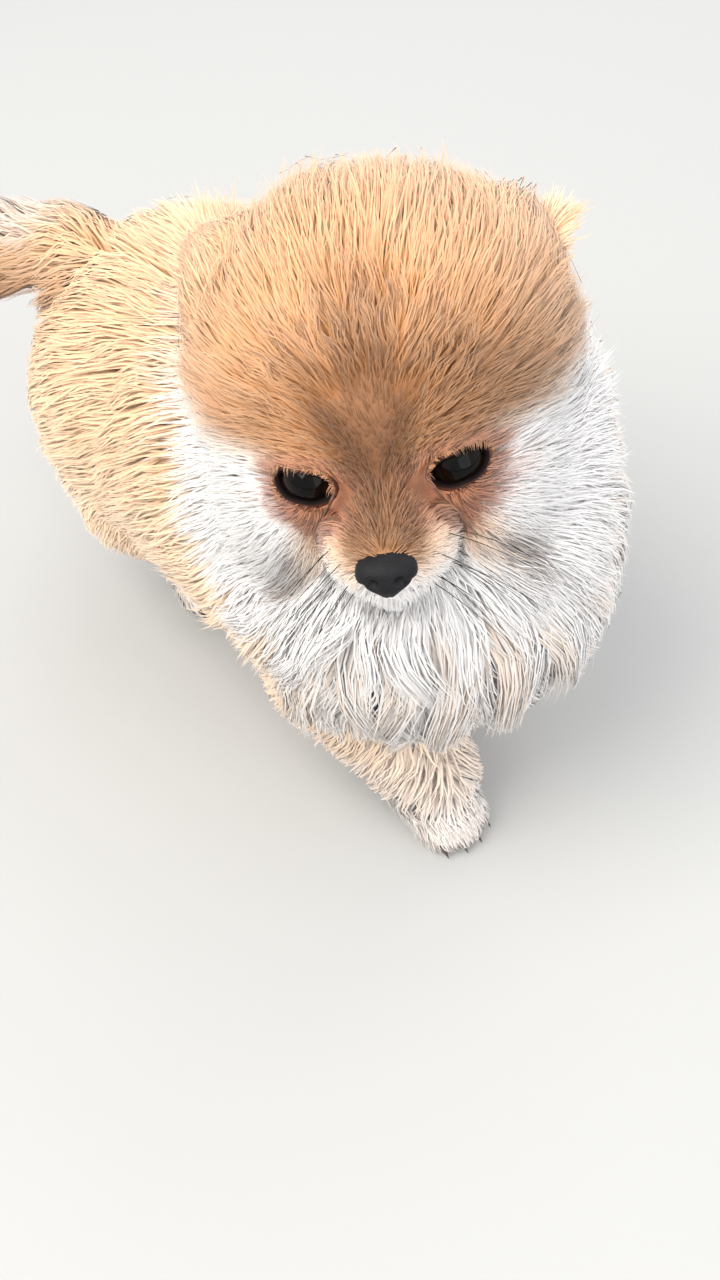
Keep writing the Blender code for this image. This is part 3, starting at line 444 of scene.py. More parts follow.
def markings(points, normals):
    """Shares of tan, white, rust and dark hair at places of the body, each 0 to 1; the dark share also holds painted
    shade under the chin, over the eyes and under the tail.
    """
    forward, left, up = head_places(points).T
    aside = np.abs(left)
    on_the_head = smooth(forward + 0.75 * up, -4.4, -3.2) * smooth(up, -5.0, -3.0)
    brow_line = 0.1 + 0.28 * np.maximum(aside - 1.2, 0.0)
    above = smooth(up - brow_line, -0.7, 0.7)
    from_brow = np.sqrt((forward + 0.3) ** 2 + (left + 0.1) ** 2 + (up - 1.3) ** 2)
    over_eyes = np.sqrt((forward + 0.5) ** 2 + ((left - 0.8) / 1.7) ** 2 + (up - 0.9) ** 2)
    crown = above * (1.0 - 0.5 * smooth(from_brow, 1.2, 6.8))
    bridge = smooth(forward, -1.0, 0.0) * (1.0 - smooth(aside, 0.55, 1.05)) * smooth(up, -1.4, -0.7)
    tan = on_the_head * np.maximum(crown, 0.9 * bridge)
    mask = smooth(forward, -1.2, 0.0) * (1.0 - smooth(aside, 1.6, 2.4)) * smooth(up, -1.9, -0.9)
    tan = np.maximum(tan, 0.62 * mask * on_the_head)
    saddle = smooth(points[:, 2], 8.0, 12.5) * smooth(points[:, 1], -4.0, 0.0)
    tan = np.maximum(tan, 0.5 * saddle * (1.0 - on_the_head))
    white = on_the_head * (1.0 - above) * (1.0 - bridge) * (1.0 - 0.8 * mask)
    ahead = 0.77 * points[:, 0] - 0.64 * points[:, 1]
    shoulder = smooth(ahead + 1.3 - 0.55 * (12.0 - points[:, 2]), -0.9, 0.9)
    chest = smooth(-points[:, 1], -1.5, 2.0) * (1.0 - smooth(points[:, 2], 14.5, 16.0)) * shoulder
    chest = chest * smooth(points[:, 2], 6.0, 8.5) * (1.0 - on_the_head)
    low = 0.45 + 0.35 * (1.0 - smooth(points[:, 2], 1.5, 3.5))
    low = low * (1.0 - smooth(points[:, 2], 4.5, 7.0))
    chin = smooth(-up, 2.2, 3.4) * smooth(forward, -4.5, -2.5) * (1.0 - smooth(aside, 2.5, 4.0))
    white = np.maximum(white, np.maximum(0.92 * chest, low) * (1.0 - on_the_head * above))
    rust = np.zeros(len(points))
    wedge = np.abs(left + 0.1) - 0.3 - 0.4 * np.clip(up + 0.4, 0.0, 4.0)
    wedge = (1.0 - smooth(wedge, -0.4, 0.9)) * (1.0 - smooth(up, 1.4, 3.6)) * smooth(up, -1.2, -0.5)
    # Over the eyes: partly the brow's own sable hair, partly painted shade where the brow hair faces down away from the
    # light
    dark = 0.6 * above * on_the_head * (1.0 - smooth(over_eyes, 1.0, 2.9))
    dark = np.maximum(dark, wedge * smooth(forward, -3.6, -1.8))
    dark = np.maximum(dark, 0.85 * bridge)
    # Painted shade: a little dark share under the chin greys the bib where the head shades it
    dark = np.maximum(dark, 0.15 * chin)
    for side in (-1, 1):
        stain = np.hypot((left * side - 1.6) / 1.35, (up + 0.45) / 0.55)
        rust = np.maximum(rust, 0.9 * (1.0 - smooth(stain, 0.4, 1.2)) * smooth(forward, -1.9, -0.8))
        outside, radius = eye_places(points, side)
        near = (1.0 - smooth(outside, 0.1, 0.5)) * (radius < 2.2)
        rust = np.maximum(rust, 0.75 * near)
        dark = np.maximum(dark, 0.55 * (1.0 - smooth(outside, 0.05, 0.35)) * (radius < 2.2))
        corner = np.linalg.norm(head_places(points) - np.array((0.5, 0.85 * side, -0.6)), axis=1)
        dark = np.maximum(dark, 0.9 * (1.0 - smooth(corner, 0.25, 0.85)))
        dark = np.maximum(dark, 0.35 * (rust > 0.4))
        pad = head_places(points) - np.array((0.0, 2.1 * side, -1.75))
        pad = np.linalg.norm(pad * np.array((0.8, 1.0, 1.0)), axis=1)
        dark = np.maximum(dark, 0.55 * (1.0 - smooth(pad, 0.2, 0.8)))
    course = np.array(TAIL_COURSE)
    tail_near = np.min(np.linalg.norm(points[:, None] - course[None, 1:], axis=2), axis=1)
    tail = (1.0 - smooth(tail_near, 1.6, 2.4)) * smooth(points[:, 1], 8.3, 9.2)
    # Tail colour by which way the hair faces: darker facing down, partly its own sable underside and partly painted
    # shade beneath it; paler facing up, partly its cream top and partly painted light from above
    under = smooth(-normals[:, 2], -0.1, 0.5)
    dark = np.maximum(dark, 0.65 * tail * under)
    tan = np.maximum(tan, tail * (0.6 - 0.5 * smooth(normals[:, 2], 0.2, 0.8)))
    white = np.maximum(white, 0.5 * tail * smooth(normals[:, 2], 0.5, 0.9))
    return np.stack([tan, white, rust, dark], axis=1)


# Unwrap of the skin: one strip of the square for each part of the body


PART_LINES = [
    (on_head(-2.6, 0, 0.9), HEAD_AXES[0], HEAD_AXES[1]),
    ((0.0, -4.8, 10.2), np.array((0.0, -0.5, 0.86)), np.array((1.0, 0.0, 0.0))),
    ((0.0, 0.5, 8.7), np.array((0.0, 1.0, 0.0)), np.array((1.0, 0.0, 0.0))),
    ((-4.0, 9.9, 12.3), unit(np.array((-6.0, 3.0, 1.1))), np.array((0.0, 0.0, 1.0))),
    ((FRONT_PAWS[-1][0], FRONT_PAWS[-1][1] + 1.5, 2.4), np.array((0.0, 0.0, 1.0)), np.array((1.0, 0, 0))),
    ((FRONT_PAWS[1][0], FRONT_PAWS[1][1], 2.4), np.array((0.0, 0.0, 1.0)), np.array((1.0, 0, 0))),
    ((HIND_PAWS[-1][0], HIND_PAWS[-1][1] + 0.8, 2.6), np.array((0.0, 0.0, 1.0)), np.array((1.0, 0, 0))),
    ((HIND_PAWS[1][0], HIND_PAWS[1][1] + 0.8, 2.6), np.array((0.0, 0.0, 1.0)), np.array((1.0, 0, 0))),
]
HEAD_PART, NECK_PART, TRUNK_PART, TAIL_PART, LEG_PARTS = 0, 1, 2, 3, 4


def part_of(points):
    """Number of the part of the body that places belong to, in the order of PART_LINES."""
    forward, left, up = head_places(points).T
    part = np.full(len(points), TRUNK_PART)
    ahead = -0.687 * points[:, 1] + 0.727 * (points[:, 2] - 15.5)
    part[ahead > 0.0] = NECK_PART
    part[0.8 * (forward + 3.8) + 0.6 * (up - 0.55) > 0.0] = HEAD_PART
    tail = (points - np.array(TRUNK[1])) @ np.array((-0.356, 0.661, 0.661)) > 5.5
    part[tail & (points[:, 1] > 6.0) & (points[:, 2] > 8.5)] = TAIL_PART
    side = np.where(points[:, 0] > 0.0, 1, 0)
    front = (points[:, 1] < -2.0) & (points[:, 2] < 3.6 + 0.45 * np.abs(points[:, 0]))
    hind = (points[:, 1] > 2.3) & (points[:, 2] < 2.7 + 0.95 * np.abs(points[:, 0]))
    part[front] = LEG_PARTS + side[front]
    part[hind] = LEG_PARTS + 2 + side[hind]
    return part


def unwrap(points):
    """Each part unrolled round its own line: u is the angle round it, v the angle along it."""
    part = part_of(points)
    flat = np.zeros((len(points), 2))
    for number, (middle, line, start) in enumerate(PART_LINES):
        mine = part == number
        line = unit(np.array(line, float))
        start = unit(np.array(start, float) - line * (np.array(start, float) @ line))
        other = np.cross(line, start)
        away = points[mine] - np.array(middle, float)
        turn = np.arctan2(away @ other, away @ start) / (2.0 * math.pi) + 0.5
        rise = np.arctan2(away @ line, np.hypot(away @ other, away @ start)) / math.pi + 0.5
        column, row = number % 4, number // 4
        flat[mine, 0] = (column + 0.03 + 0.94 * turn) / 4.0
        flat[mine, 1] = (row + 0.03 + 0.94 * rise) / 2.0
    return flat


# Lie of the coat


def lie_of_coat(points):
    """Direction in which the hair lies, before it is laid against the body."""
    part = part_of(points)
    local = head_places(points)
    face = unit(points - on_head(2.9, 0.0, -0.9))
    below = np.clip((EYES_MIDDLE[2] - points[:, 2]) / 5.0, 0.0, 1.0)
    behind = smooth(-local[:, 0], 4.6, 7.4)
    face[:, 2] -= np.maximum(1.1 * below, 1.2 * behind)
    aside = np.clip(np.abs(points[:, 0]) / 4.0, 0.0, 1.0)
    trunk = unit(np.stack([0.1 * points[:, 0], np.ones(len(points)), -0.75 * aside], axis=1))
    weight = smooth((points[:, 1] + 1.0) - 0.6 * (points[:, 2] - 10.0), -4.0, 1.0)[:, None]
    lie = unit(face) * (1.0 - weight) + trunk * weight
    legs = part >= LEG_PARTS
    lie[legs] = np.array((0.0, 0.45, -0.9))
    low_paw = legs & (points[:, 2] < 1.6)
    lie[low_paw] = np.array((0.0, -0.8, -0.5))
    course = np.array(TAIL_COURSE)
    middles = 0.5 * (course[1:] + course[:-1])
    near = np.linalg.norm(points[:, None] - middles[None], axis=2).argmin(axis=1)
    tail = part == TAIL_PART
    lie[tail] = (unit(course[1:] - course[:-1])[near] + np.array((0.0, 0.0, -0.15)))[tail]
    for side in (-1, 1):
        from_eye = points - eye_centre(side)
        away = unit(from_eye)
        near_eye = (1.0 - smooth(np.linalg.norm(from_eye, axis=1), 1.2, 2.2))[:, None]
        brow = smooth(away @ HEAD_AXES[2], 0.1, 0.6)[:, None]
        lie = unit(lie) + 1.3 * near_eye * brow * (side * HEAD_AXES[1] + 0.2 * HEAD_AXES[2])
        gaze = eye_axes(side)[2]
        flat = unit(away - gaze * (away @ gaze)[:, None])
        into = np.minimum((unit(lie) * flat).sum(axis=1, keepdims=True), 0.0)
        lie = unit(lie) - near_eye * flat * (1.2 * into - 0.15)
    chin = (np.abs(local[:, 1]) < 1.2) & (local[:, 2] < -1.9) & (local[:, 0] > -1.0)
    lie[chin] += np.array((0.0, 0.0, -0.8))
    return unit(lie)


def eye_clearance(points):
    """How far places lie outside the openings of the lids, in centimetres along the eyeball."""
    clear = np.full(len(points), 9.0)
    for side in (-1, 1):
        outside, radius = eye_places(points, side)
        clear = np.where(radius < 2.2, np.minimum(clear, outside), clear)
    return clear


# Tufts


def core_cells():
    """Middles of the cells that the half way layer crosses, and the area of it in each."""
    inside = CORE_LAYER < 0.0
    cells = tuple(size - 1 for size in GRID_SHAPE)
    corner = [inside[i:i + cells[0], j:j + cells[1], k:k + cells[2]]
              for i in (0, 1) for j in (0, 1) for k in (0, 1)]
    crossed = np.argwhere(np.any(corner, axis=0) & ~np.all(corner, axis=0))
    middles = GRID_LOW + (crossed + 0.5) * CELL
    normals = unit(read_grid(VOLUME, middles)[..., 3:6])
    return middles, CELL**2 / np.abs(normals).sum(axis=1), normals


CELLS, CELL_AREAS, CELL_NORMALS = core_cells()
CELL_PLACES = settle(CELLS)


def roots_on_core(weight, count, draw):
    """Places spread evenly over the half way layer, denser where the weight is higher."""
    total = np.cumsum(weight * CELL_AREAS)
    steps = (np.arange(count) + draw.uniform(0.0, 1.0, count)) / count
    picked = np.searchsorted(total, steps * total[-1])
    spots = CELLS[np.minimum(picked, len(CELLS) - 1)]
    return settle(spots + draw.uniform(-0.5, 0.5, spots.shape) * CELL, rounds=3)


def nearest_of(points, centres):
    """Number of the nearest centre for each point, worked out block by block."""
    found = np.empty(len(points), int)
    for start in range(0, len(points), 4000):
        block = points[start:start + 4000]
        apart = ((block[:, None] - centres[None]) ** 2).sum(axis=2)
        found[start:start + 4000] = apart.argmin(axis=1)
    return found


def unevenness(points):
    """A slow wave over the body, about -1 to 1: the sum of three products of sines."""
    waves = ((1.9, 1.4, 0.6, 0.3), (-1.2, 2.1, 1.1, 2.1), (0.7, -1.6, 2.2, 4.0))
    total = 0.0
    for across, along, up, phase in waves:
        place = points @ np.array((across, along, up)) + phase
        total = total + np.sin(place) * np.sin(0.61 * place + points @ np.array((up, across, along)))
    return total / 1.6


def courses(roots, settings, draw):
    """Middle lines of tufts: the foot walks along the lie on the half way layer, and the height
    over it goes from under the skin to the tips as 1 - (1 - t)^lift."""
    count = len(roots)
    here = read_grid(VOLUME, roots)
    coat_depth = np.clip(-here[:, TIPS], 0.05, 2.1)
    skin_depth = np.clip(here[:, SKIN], 0.0, 2.2)
    reach = draw.uniform(*settings["reach"], count)
    reach *= np.where(draw.uniform(0.0, 1.0, count) < settings["wisps"], 1.25, 1.0)
    reach *= 1.0 + settings["uneven"] * unevenness(roots)
    run = np.clip(coat_depth * settings["run"], settings["shortest"], settings["longest"])
    run *= draw.uniform(0.8, 1.2, count)
    sway = draw.normal(0.0, settings["sway"], (count, 3))
    lift = settings["lift"]
    foot = roots.copy()
    middles, normals = [], []
    before = 0.0
    for part in settings["stations"]:
        here = read_grid(VOLUME, foot)
        normal = unit(here[:, 3:6])
        along = lie_of_coat(foot) + sway * (0.3 + part)
        along -= normal * (along * normal).sum(axis=1, keepdims=True)
        foot = foot + unit(along) * (run * (part - before))[:, None]
        here = read_grid(VOLUME, foot)
        normal = unit(here[:, 3:6])
        foot = foot - normal * np.clip(here[:, CORE:CORE + 1], -0.6, 0.6) * settings["hug"]
        top = np.clip(-read_grid(VOLUME, foot)[:, TIPS], settings["least"], 2.1) * reach
        start = -skin_depth - settings["sink"]
        height = start + (top - start) * (1.0 - (1.0 - part) ** lift)
        middles.append(foot + normal * height[:, None])
        normals.append(normal)
        before = part
    return np.array(middles), np.array(normals)


def gather(middles, normals, settings, draw):
    """Tufts drawn together towards the middle line of their clump, the more the nearer the tip,
    each clump with its own slight wave."""
    count = middles.shape[1]
    if count < 20 or settings["pull"] <= 0.0:
        return middles
    leaders = draw.choice(count, max(2, int(count / settings["clump"])), replace=False)
    mine = leaders[nearest_of(middles[1], middles[1][leaders])]
    parts = np.array(settings["stations"])[:, None, None]
    pull = settings["pull"] * draw.uniform(0.5, 1.2, (1, count, 1)) * parts ** settings["draws"]
    middles = middles + pull * (middles[:, mine] - middles)
    phase = draw.uniform(0.0, 2.0 * math.pi, count)[mine][None, :, None]
    wave = settings["wave"] * parts * np.sin(5.0 * parts + phase)
    bend = unit(np.cross(middles[-1] - middles[0], normals[1]))
    return middles + wave * bend[None]


def tuft_mesh(name, middles, normals, settings, draw, places, marks):
    """Tapered three-sided tufts, closed at root and tip, one ring of three points a station."""
    stations, count = middles.shape[:2]
    rings = stations - 1
    parts = np.array(settings["stations"])
    tangents = unit(np.gradient(middles, axis=0))
    across = unit(np.cross(tangents, normals))
    over = np.cross(across, tangents)
    spin = draw.uniform(-0.35, 0.35, (1, count, 1))
    across, over = (across * np.cos(spin) + over * np.sin(spin),
                    over * np.cos(spin) - across * np.sin(spin))
    profile = (0.6 + 0.4 * np.sin(math.pi * np.minimum(parts * 2.0, 1.0) * 0.5)) * (1.0 - parts) ** 0.75
    width = settings["width"] * WIDER * draw.uniform(0.7, 1.3, (1, count, 1))
    side = across * width * 0.5 * profile[:, None, None]
    lift = over * width * settings["thick"] * profile[:, None, None]
    rim = np.stack([middles + side - 0.3 * lift, middles + 0.7 * lift, middles - side - 0.3 * lift],
                   axis=1)[:rings]
    points = np.concatenate([rim.reshape(3 * rings, count, 3), middles[-1:]]).transpose(1, 0, 2)
    each = 3 * rings + 1
    faces = [(0, 1, 2)]
    for ring in range(rings - 1):
        for edge in range(3):
            near, far = 3 * ring + edge, 3 * ring + (edge + 1) % 3
            faces += [(far, near, far + 3), (far + 3, near, near + 3)]
    base = 3 * (rings - 1)
    faces += [(base + (edge + 1) % 3, base + edge, base + 3) for edge in range(3)]
    faces = np.array(faces)
    triangles = (faces[None] + (np.arange(count) * each)[:, None, None]).reshape(-1, 3)
    soft = settings["soft"]
    tilt = np.array((0.8, 0.0, -0.8))[None, :, None, None]
    blade = unit(over[:rings, None] + tilt * across[:rings, None])
    facing = unit(soft * normals[:rings, None] + (1.0 - soft) * blade).reshape(3 * rings, count, 3)
    facing = np.concatenate([facing, unit(soft * normals[-1:] + (1.0 - soft) * over[-1:])])
    facing = facing.transpose(1, 0, 2).reshape(-1, 3)
    thing = new_mesh(name, points.reshape(-1, 3), triangles, facing)
    set_attribute(thing, "markings", "FLOAT_COLOR", np.repeat(marks, each, axis=0))
    along = np.concatenate([np.repeat(parts[:rings], 3), [1.0]])
    set_attribute(thing, "along", "FLOAT", np.tile(along, count))
    set_attribute(thing, "shade", "FLOAT", np.repeat(draw.uniform(0.0, 1.0, count), each))
    aside = np.concatenate([np.tile(np.array((-1.0, 0.0, 1.0)), rings), [0.0]])
    spread = np.stack([aside, 2.0 * along - 1.0], axis=1) * 0.0015
    flat = (unwrap(places)[:, None] + spread[None]).reshape(-1, 2)
    layer_made = thing.data.uv_layers.new(name="OFBake")
    layer_made.uv.foreach_set("vector", flat[triangles.ravel()].astype(np.float32).ravel())
    return thing


LONG = {"stations": (0.0, 0.34, 0.7, 1.0), "run": 2.7, "shortest": 0.5, "longest": 5.0,
        "reach": (0.62, 1.05), "wisps": 0.07, "uneven": 0.1, "sway": 0.12, "lift": 1.5, "sink": 0.1,
        "width": 0.1, "thick": 0.17, "soft": 0.95, "clump": 22, "pull": 0.55, "wave": 0.1, "draws": 1.4, "least": 0.05,
        "hug": 1.0}
SHORT = {"stations": (0.0, 0.36, 0.7, 1.0), "run": 2.6, "shortest": 0.34, "longest": 2.2,
         "reach": (0.5, 1.15), "wisps": 0.0, "uneven": 0.0, "sway": 0.16, "lift": 1.5, "sink": 0.05,
         "width": 0.055, "thick": 0.17, "soft": 0.9, "clump": 10, "pull": 0.3, "wave": 0.0, "draws": 1.4, "least": 0.13,
         "hug": 1.0}
CURVED = dict(LONG, stations=(0.0, 0.2, 0.38, 0.56, 0.72, 0.87, 1.0))
FEWER = 1.0
WIDER = 1.0


def coat_depth_of(points):
    here = read_grid(VOLUME, points)
    return here[:, SKIN] - here[:, TIPS]


def coat_piece(name, weight, count, settings, seed, material):
    """One piece of coat with about a given number of tufts, spread by the weight of each cell."""
    draw = np.random.default_rng(seed)
    roots = roots_on_core(weight, int(count * FEWER), draw)
    roots = roots[eye_clearance(roots) > 0.04]
    nose = head_places(roots) - np.array((2.8, 0.0, -1.26))
    roots = roots[np.linalg.norm(nose / np.array((0.6, 0.72, 0.5)), axis=1) > 1.0]
    places = settle(roots, SKIN, 2)
    mouth = mouth_lines().reshape(-1, 3)
    from_mouth = np.linalg.norm(places - mouth[nearest_of(places, mouth)], axis=1)
    roots = roots[(places[:, 2] > 0.15) & (from_mouth > 0.1)]
    middles, normals = courses(roots, settings, draw)
    middles = gather(middles, normals, settings, draw)
    middles[..., 2] = np.maximum(middles[..., 2], 0.06)
    places = settle(roots, SKIN, 2)
    piece = tuft_mesh(name, middles, normals, settings, draw, places, markings(places, normals[0]))
    piece.data.materials.append(material)
    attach(piece, BODY)


def build_coat(material):
    """Short hair of face and paws, then the long coat part by part."""
    depth = coat_depth_of(CELL_PLACES)
    part = part_of(CELL_PLACES)
    short = 1.0 - smooth(depth, 0.5, 0.9)
    forward, left, up = head_places(CELL_PLACES).T
    along = CELL_PLACES[:, 1]
    seen = 0.45 + 0.55 * smooth(CELL_NORMALS[:, 2], -0.7, -0.1)
    head = (part == HEAD_PART) * (1.0 - short)
    trunk = (part == TRUNK_PART) * (1.0 - short) * seen
    legs = part >= LEG_PARTS
    front = smooth(forward, -5.2, -3.2)
    brow = dict(LONG, width=0.07, pull=0.4)
    near_eyes = 3.0 * (1.0 - smooth(eye_clearance(CELL_PLACES), 0.4, 1.2))
    corner = 1.0 - smooth(np.hypot(np.abs(left) - 1.1, up + 0.6), 0.6, 1.4)
    near_eyes += 4.0 * corner
    short = np.maximum(short, corner * (part == HEAD_PART) * (forward > -1.6))
    head = (part == HEAD_PART) * (1.0 - short)
    bib = (part <= NECK_PART) * (1.0 - short) * smooth(-up, 2.1, 2.9) * smooth(forward, -4.6, -3.2)
    bib = bib * (1.0 - smooth(np.abs(left), 2.6, 3.8)) * (1.0 - smooth(-up, 7.5, 9.0))
    for name, weight, count, settings, seed in (
            ("coat_face", short * (part == HEAD_PART) * (1.0 + near_eyes), 12400,
             dict(SHORT, width=0.047, longest=1.3), 21),
            ("coat_paws", short * legs * (0.5 + smooth(-CELL_PLACES[:, 2], -3.0, -1.5)), 5400,
             dict(SHORT, width=0.07, reach=(0.4, 0.9), longest=0.9), 22),
            ("coat_brow_right", head * front * (left < 0.0) * (1.0 - 0.97 * bib), 10000, brow, 23),
            ("coat_brow_left", head * front * (left >= 0.0) * (1.0 - 0.97 * bib), 10000, brow, 31),
            ("coat_crown", head * (1.0 - front) * seen, 11400, dict(LONG, width=0.085), 24),
            ("coat_ruff", (part == NECK_PART) * (1.0 - short) * seen * (1.0 - 0.97 * bib), 10600,
             dict(LONG, run=3.0, longest=6.0, clump=34, pull=0.75), 25),
            ("coat_bib", bib, 3000,
             dict(CURVED, run=4.5, longest=5.2, shortest=3.0, clump=90, pull=0.9, draws=0.65, wave=0.6,
                  reach=(0.8, 1.15), width=0.08, sway=0.1), 33),
            ("coat_withers", trunk * (along < 1.5), 9000, dict(LONG, width=0.14), 26),
            ("coat_rump", trunk * (along >= 1.5), 9000, dict(LONG, width=0.14), 27),
            ("coat_legs", legs * (1.0 - short), 5600, dict(LONG, width=0.12), 28),
            ("coat_tail", (part == TAIL_PART) * (1.0 - short), 3600,
             dict(LONG, run=3.4, width=0.1, longest=2.0, hug=0.6), 29)):
        coat_piece(name, weight, count, settings, seed, material)


# Materials


def new_material(name):
    material = bpy.data.materials.new(name)
    material.use_nodes = True
    return material, material.node_tree, material.node_tree.nodes["Principled BSDF"]


def add(tree, kind, **values):
    """A node with its plain properties set, and inputs given by name as in_NAME."""
    node = tree.nodes.new(kind)
    for key, value in values.items():
        if key.startswith("in_"):
            node.inputs[key[3:].replace("_", " ")].default_value = value
        else:
            setattr(node, key, value)
    return node


def mix_colours(tree, share, first, second):
    """Colour that goes from the first to the second by a share."""
    node = add(tree, "ShaderNodeMix", data_type="RGBA")
    for socket, value in ((node.inputs[0], share), (node.inputs[6], first), (node.inputs[7], second)):
        if hasattr(value, "is_output"):
            tree.links.new(value, socket)
        else:
            socket.default_value = value
    return node.outputs[2]


def maths(tree, operation, first, second, clamp=False):
    node = add(tree, "ShaderNodeMath", operation=operation, use_clamp=clamp)
    for socket, value in zip(node.inputs, (first, second)):
        if hasattr(value, "is_output"):
            tree.links.new(value, socket)
        else:
            socket.default_value = value
    return node.outputs[0]


CREAM = (0.96, 0.69, 0.465, 1.0)
TAN = (0.72, 0.345, 0.15, 1.0)
WHITE = (0.91, 0.885, 0.865, 1.0)
RUST = (0.54, 0.215, 0.13, 1.0)
# Sable hair colour, also the colour of the painted shade that the dark share mixes in
SABLE_AND_SHADE = (0.115, 0.052, 0.026, 1.0)


def coat_tint_group():
    """Hair colour from markings, place along the hair and a shade for each tuft, with painted light at the roots."""
    group = bpy.data.node_groups.new("coat_tint", "ShaderNodeTree")
    for name, kind in (("Tan", "Float"), ("White", "Float"), ("Rust", "Float"), ("Dark", "Float"),
                       ("Along", "Float"), ("Shade", "Float")):
        group.interface.new_socket(name, in_out="INPUT", socket_type="NodeSocket" + kind)
    group.interface.new_socket("Color", in_out="OUTPUT", socket_type="NodeSocketColor")
    start = group.nodes.new("NodeGroupInput").outputs
    place = group.nodes.new("ShaderNodeTexCoord")
    patch = add(group, "ShaderNodeTexNoise", in_Scale=95.0, in_Detail=3.0)
    group.links.new(place.outputs["Object"], patch.inputs["Vector"])
    uneven = maths(group, "SUBTRACT", patch.outputs[0], 0.5)
    tan = maths(group, "ADD", start["Tan"], maths(group, "MULTIPLY", uneven, 0.5), True)
    tan = maths(group, "MULTIPLY", tan, maths(group, "SUBTRACT", 1.0, maths(
        group, "MULTIPLY", maths(group, "POWER", start["Along"], 2.0), 0.35)), True)
    colour = mix_colours(group, tan, CREAM, TAN)
    colour = mix_colours(group, start["White"], colour, WHITE)
    colour = mix_colours(group, start["Rust"], colour, RUST)
    colour = mix_colours(group, maths(group, "MULTIPLY", start["Dark"], 0.88), colour, SABLE_AND_SHADE)
    picked = maths(group, "LESS_THAN", start["Shade"], maths(group, "MULTIPLY", start["Dark"], 0.45))
    streak = maths(group, "ADD", maths(group, "MULTIPLY", start["Along"], 0.4), 0.45)
    streak = maths(group, "MULTIPLY", picked, maths(group, "MULTIPLY", streak, 0.8), True)
    colour = mix_colours(group, streak, colour, SABLE_AND_SHADE)
    # Painted light: roots are drawn lighter than tips by the along term, against the shade that falls between tufts;
    # the shade term is each tuft's own tone
    fine = maths(group, "ADD", maths(group, "MULTIPLY", start["Shade"], 0.12), 1.08)
    redder = maths(group, "MULTIPLY", maths(group, "SUBTRACT", start["Shade"], 0.5), start["Rust"])
    fine = maths(group, "ADD", fine, maths(group, "MULTIPLY", redder, 0.6))
    fine = maths(group, "SUBTRACT", fine, maths(group, "MULTIPLY", start["Along"], 0.14))
    tone = add(group, "ShaderNodeHueSaturation")
    group.links.new(colour, tone.inputs["Color"])
    group.links.new(fine, tone.inputs["Value"])
    richer = maths(group, "MULTIPLY", start["Along"], -0.2)
    group.links.new(maths(group, "ADD", richer, 1.15), tone.inputs["Saturation"])
    finish = group.nodes.new("NodeGroupOutput")
    group.links.new(tone.outputs[0], finish.inputs["Color"])
    return group


def read_markings(tree, group, along=None, shade=None):
    """The tint group fed by the piece's own attributes."""
    node = add(tree, "ShaderNodeGroup", node_tree=group)
    marks = add(tree, "ShaderNodeAttribute", attribute_name="markings")
    split = add(tree, "ShaderNodeSeparateColor")
    tree.links.new(marks.outputs["Color"], split.inputs[0])
    for name, output in zip(("Tan", "White", "Rust"), split.outputs):
        tree.links.new(output, node.inputs[name])
    tree.links.new(marks.outputs["Alpha"], node.inputs["Dark"])
    for name, fixed in (("along", along), ("shade", shade)):
        if fixed is None:
            attribute = add(tree, "ShaderNodeAttribute", attribute_name=name)
            tree.links.new(attribute.outputs["Fac"], node.inputs[name.capitalize()])
        else:
            node.inputs[name.capitalize()].default_value = fixed
    return node.outputs["Color"]


def coat_material(group):
    material, tree, shader = new_material("coat")
    tree.links.new(read_markings(tree, group), shader.inputs["Base Color"])
    shader.inputs["Roughness"].default_value = 0.62
    shader.inputs["Specular IOR Level"].default_value = 0.3
    shader.inputs["Sheen Weight"].default_value = 0.25
    shader.inputs["Sheen Roughness"].default_value = 0.5
    return material


def skin_material(group):
    material, tree, shader = new_material("skin")
    colour = read_markings(tree, group, 0.3, 0.9)
    place = add(tree, "ShaderNodeTexCoord")
    fine = add(tree, "ShaderNodeTexNoise", in_Scale=900.0, in_Detail=4.0)
    tree.links.new(place.outputs["Object"], fine.inputs["Vector"])
    deeper = mix_colours(tree, maths(tree, "MULTIPLY", fine.outputs[0], 0.2), colour,
                         (0.45, 0.22, 0.15, 1.0))
    tree.links.new(deeper, shader.inputs["Base Color"])
    bump = add(tree, "ShaderNodeBump", in_Strength=0.5, in_Distance=0.0006)
    tree.links.new(fine.outputs[0], bump.inputs["Height"])
    tree.links.new(bump.outputs[0], shader.inputs["Normal"])
    shader.inputs["Roughness"].default_value = 0.75
    return material


def plain_material(name, colour, roughness, scale, strength, coat=0.0, second=None):
    """One finish with fine bumps and a patchy second colour."""
    material, tree, shader = new_material(name)
    place = add(tree, "ShaderNodeTexCoord")
    grain = add(tree, "ShaderNodeTexVoronoi", in_Scale=scale)
    patch = add(tree, "ShaderNodeTexNoise", in_Scale=scale * 0.2, in_Detail=3.0)
    tree.links.new(place.outputs["Object"], grain.inputs["Vector"])
    tree.links.new(place.outputs["Object"], patch.inputs["Vector"])
    tree.links.new(mix_colours(tree, patch.outputs[0], colour, second or colour),
                   shader.inputs["Base Color"])
    bump = add(tree, "ShaderNodeBump", in_Strength=strength, in_Distance=0.0003)
    tree.links.new(grain.outputs["Distance"], bump.inputs["Height"])
    tree.links.new(bump.outputs[0], shader.inputs["Normal"])
    shader.inputs["Roughness"].default_value = roughness
    shader.inputs["Coat Weight"].default_value = coat
    shader.inputs["Specular IOR Level"].default_value = 0.13
    return material


# Pieces of the head


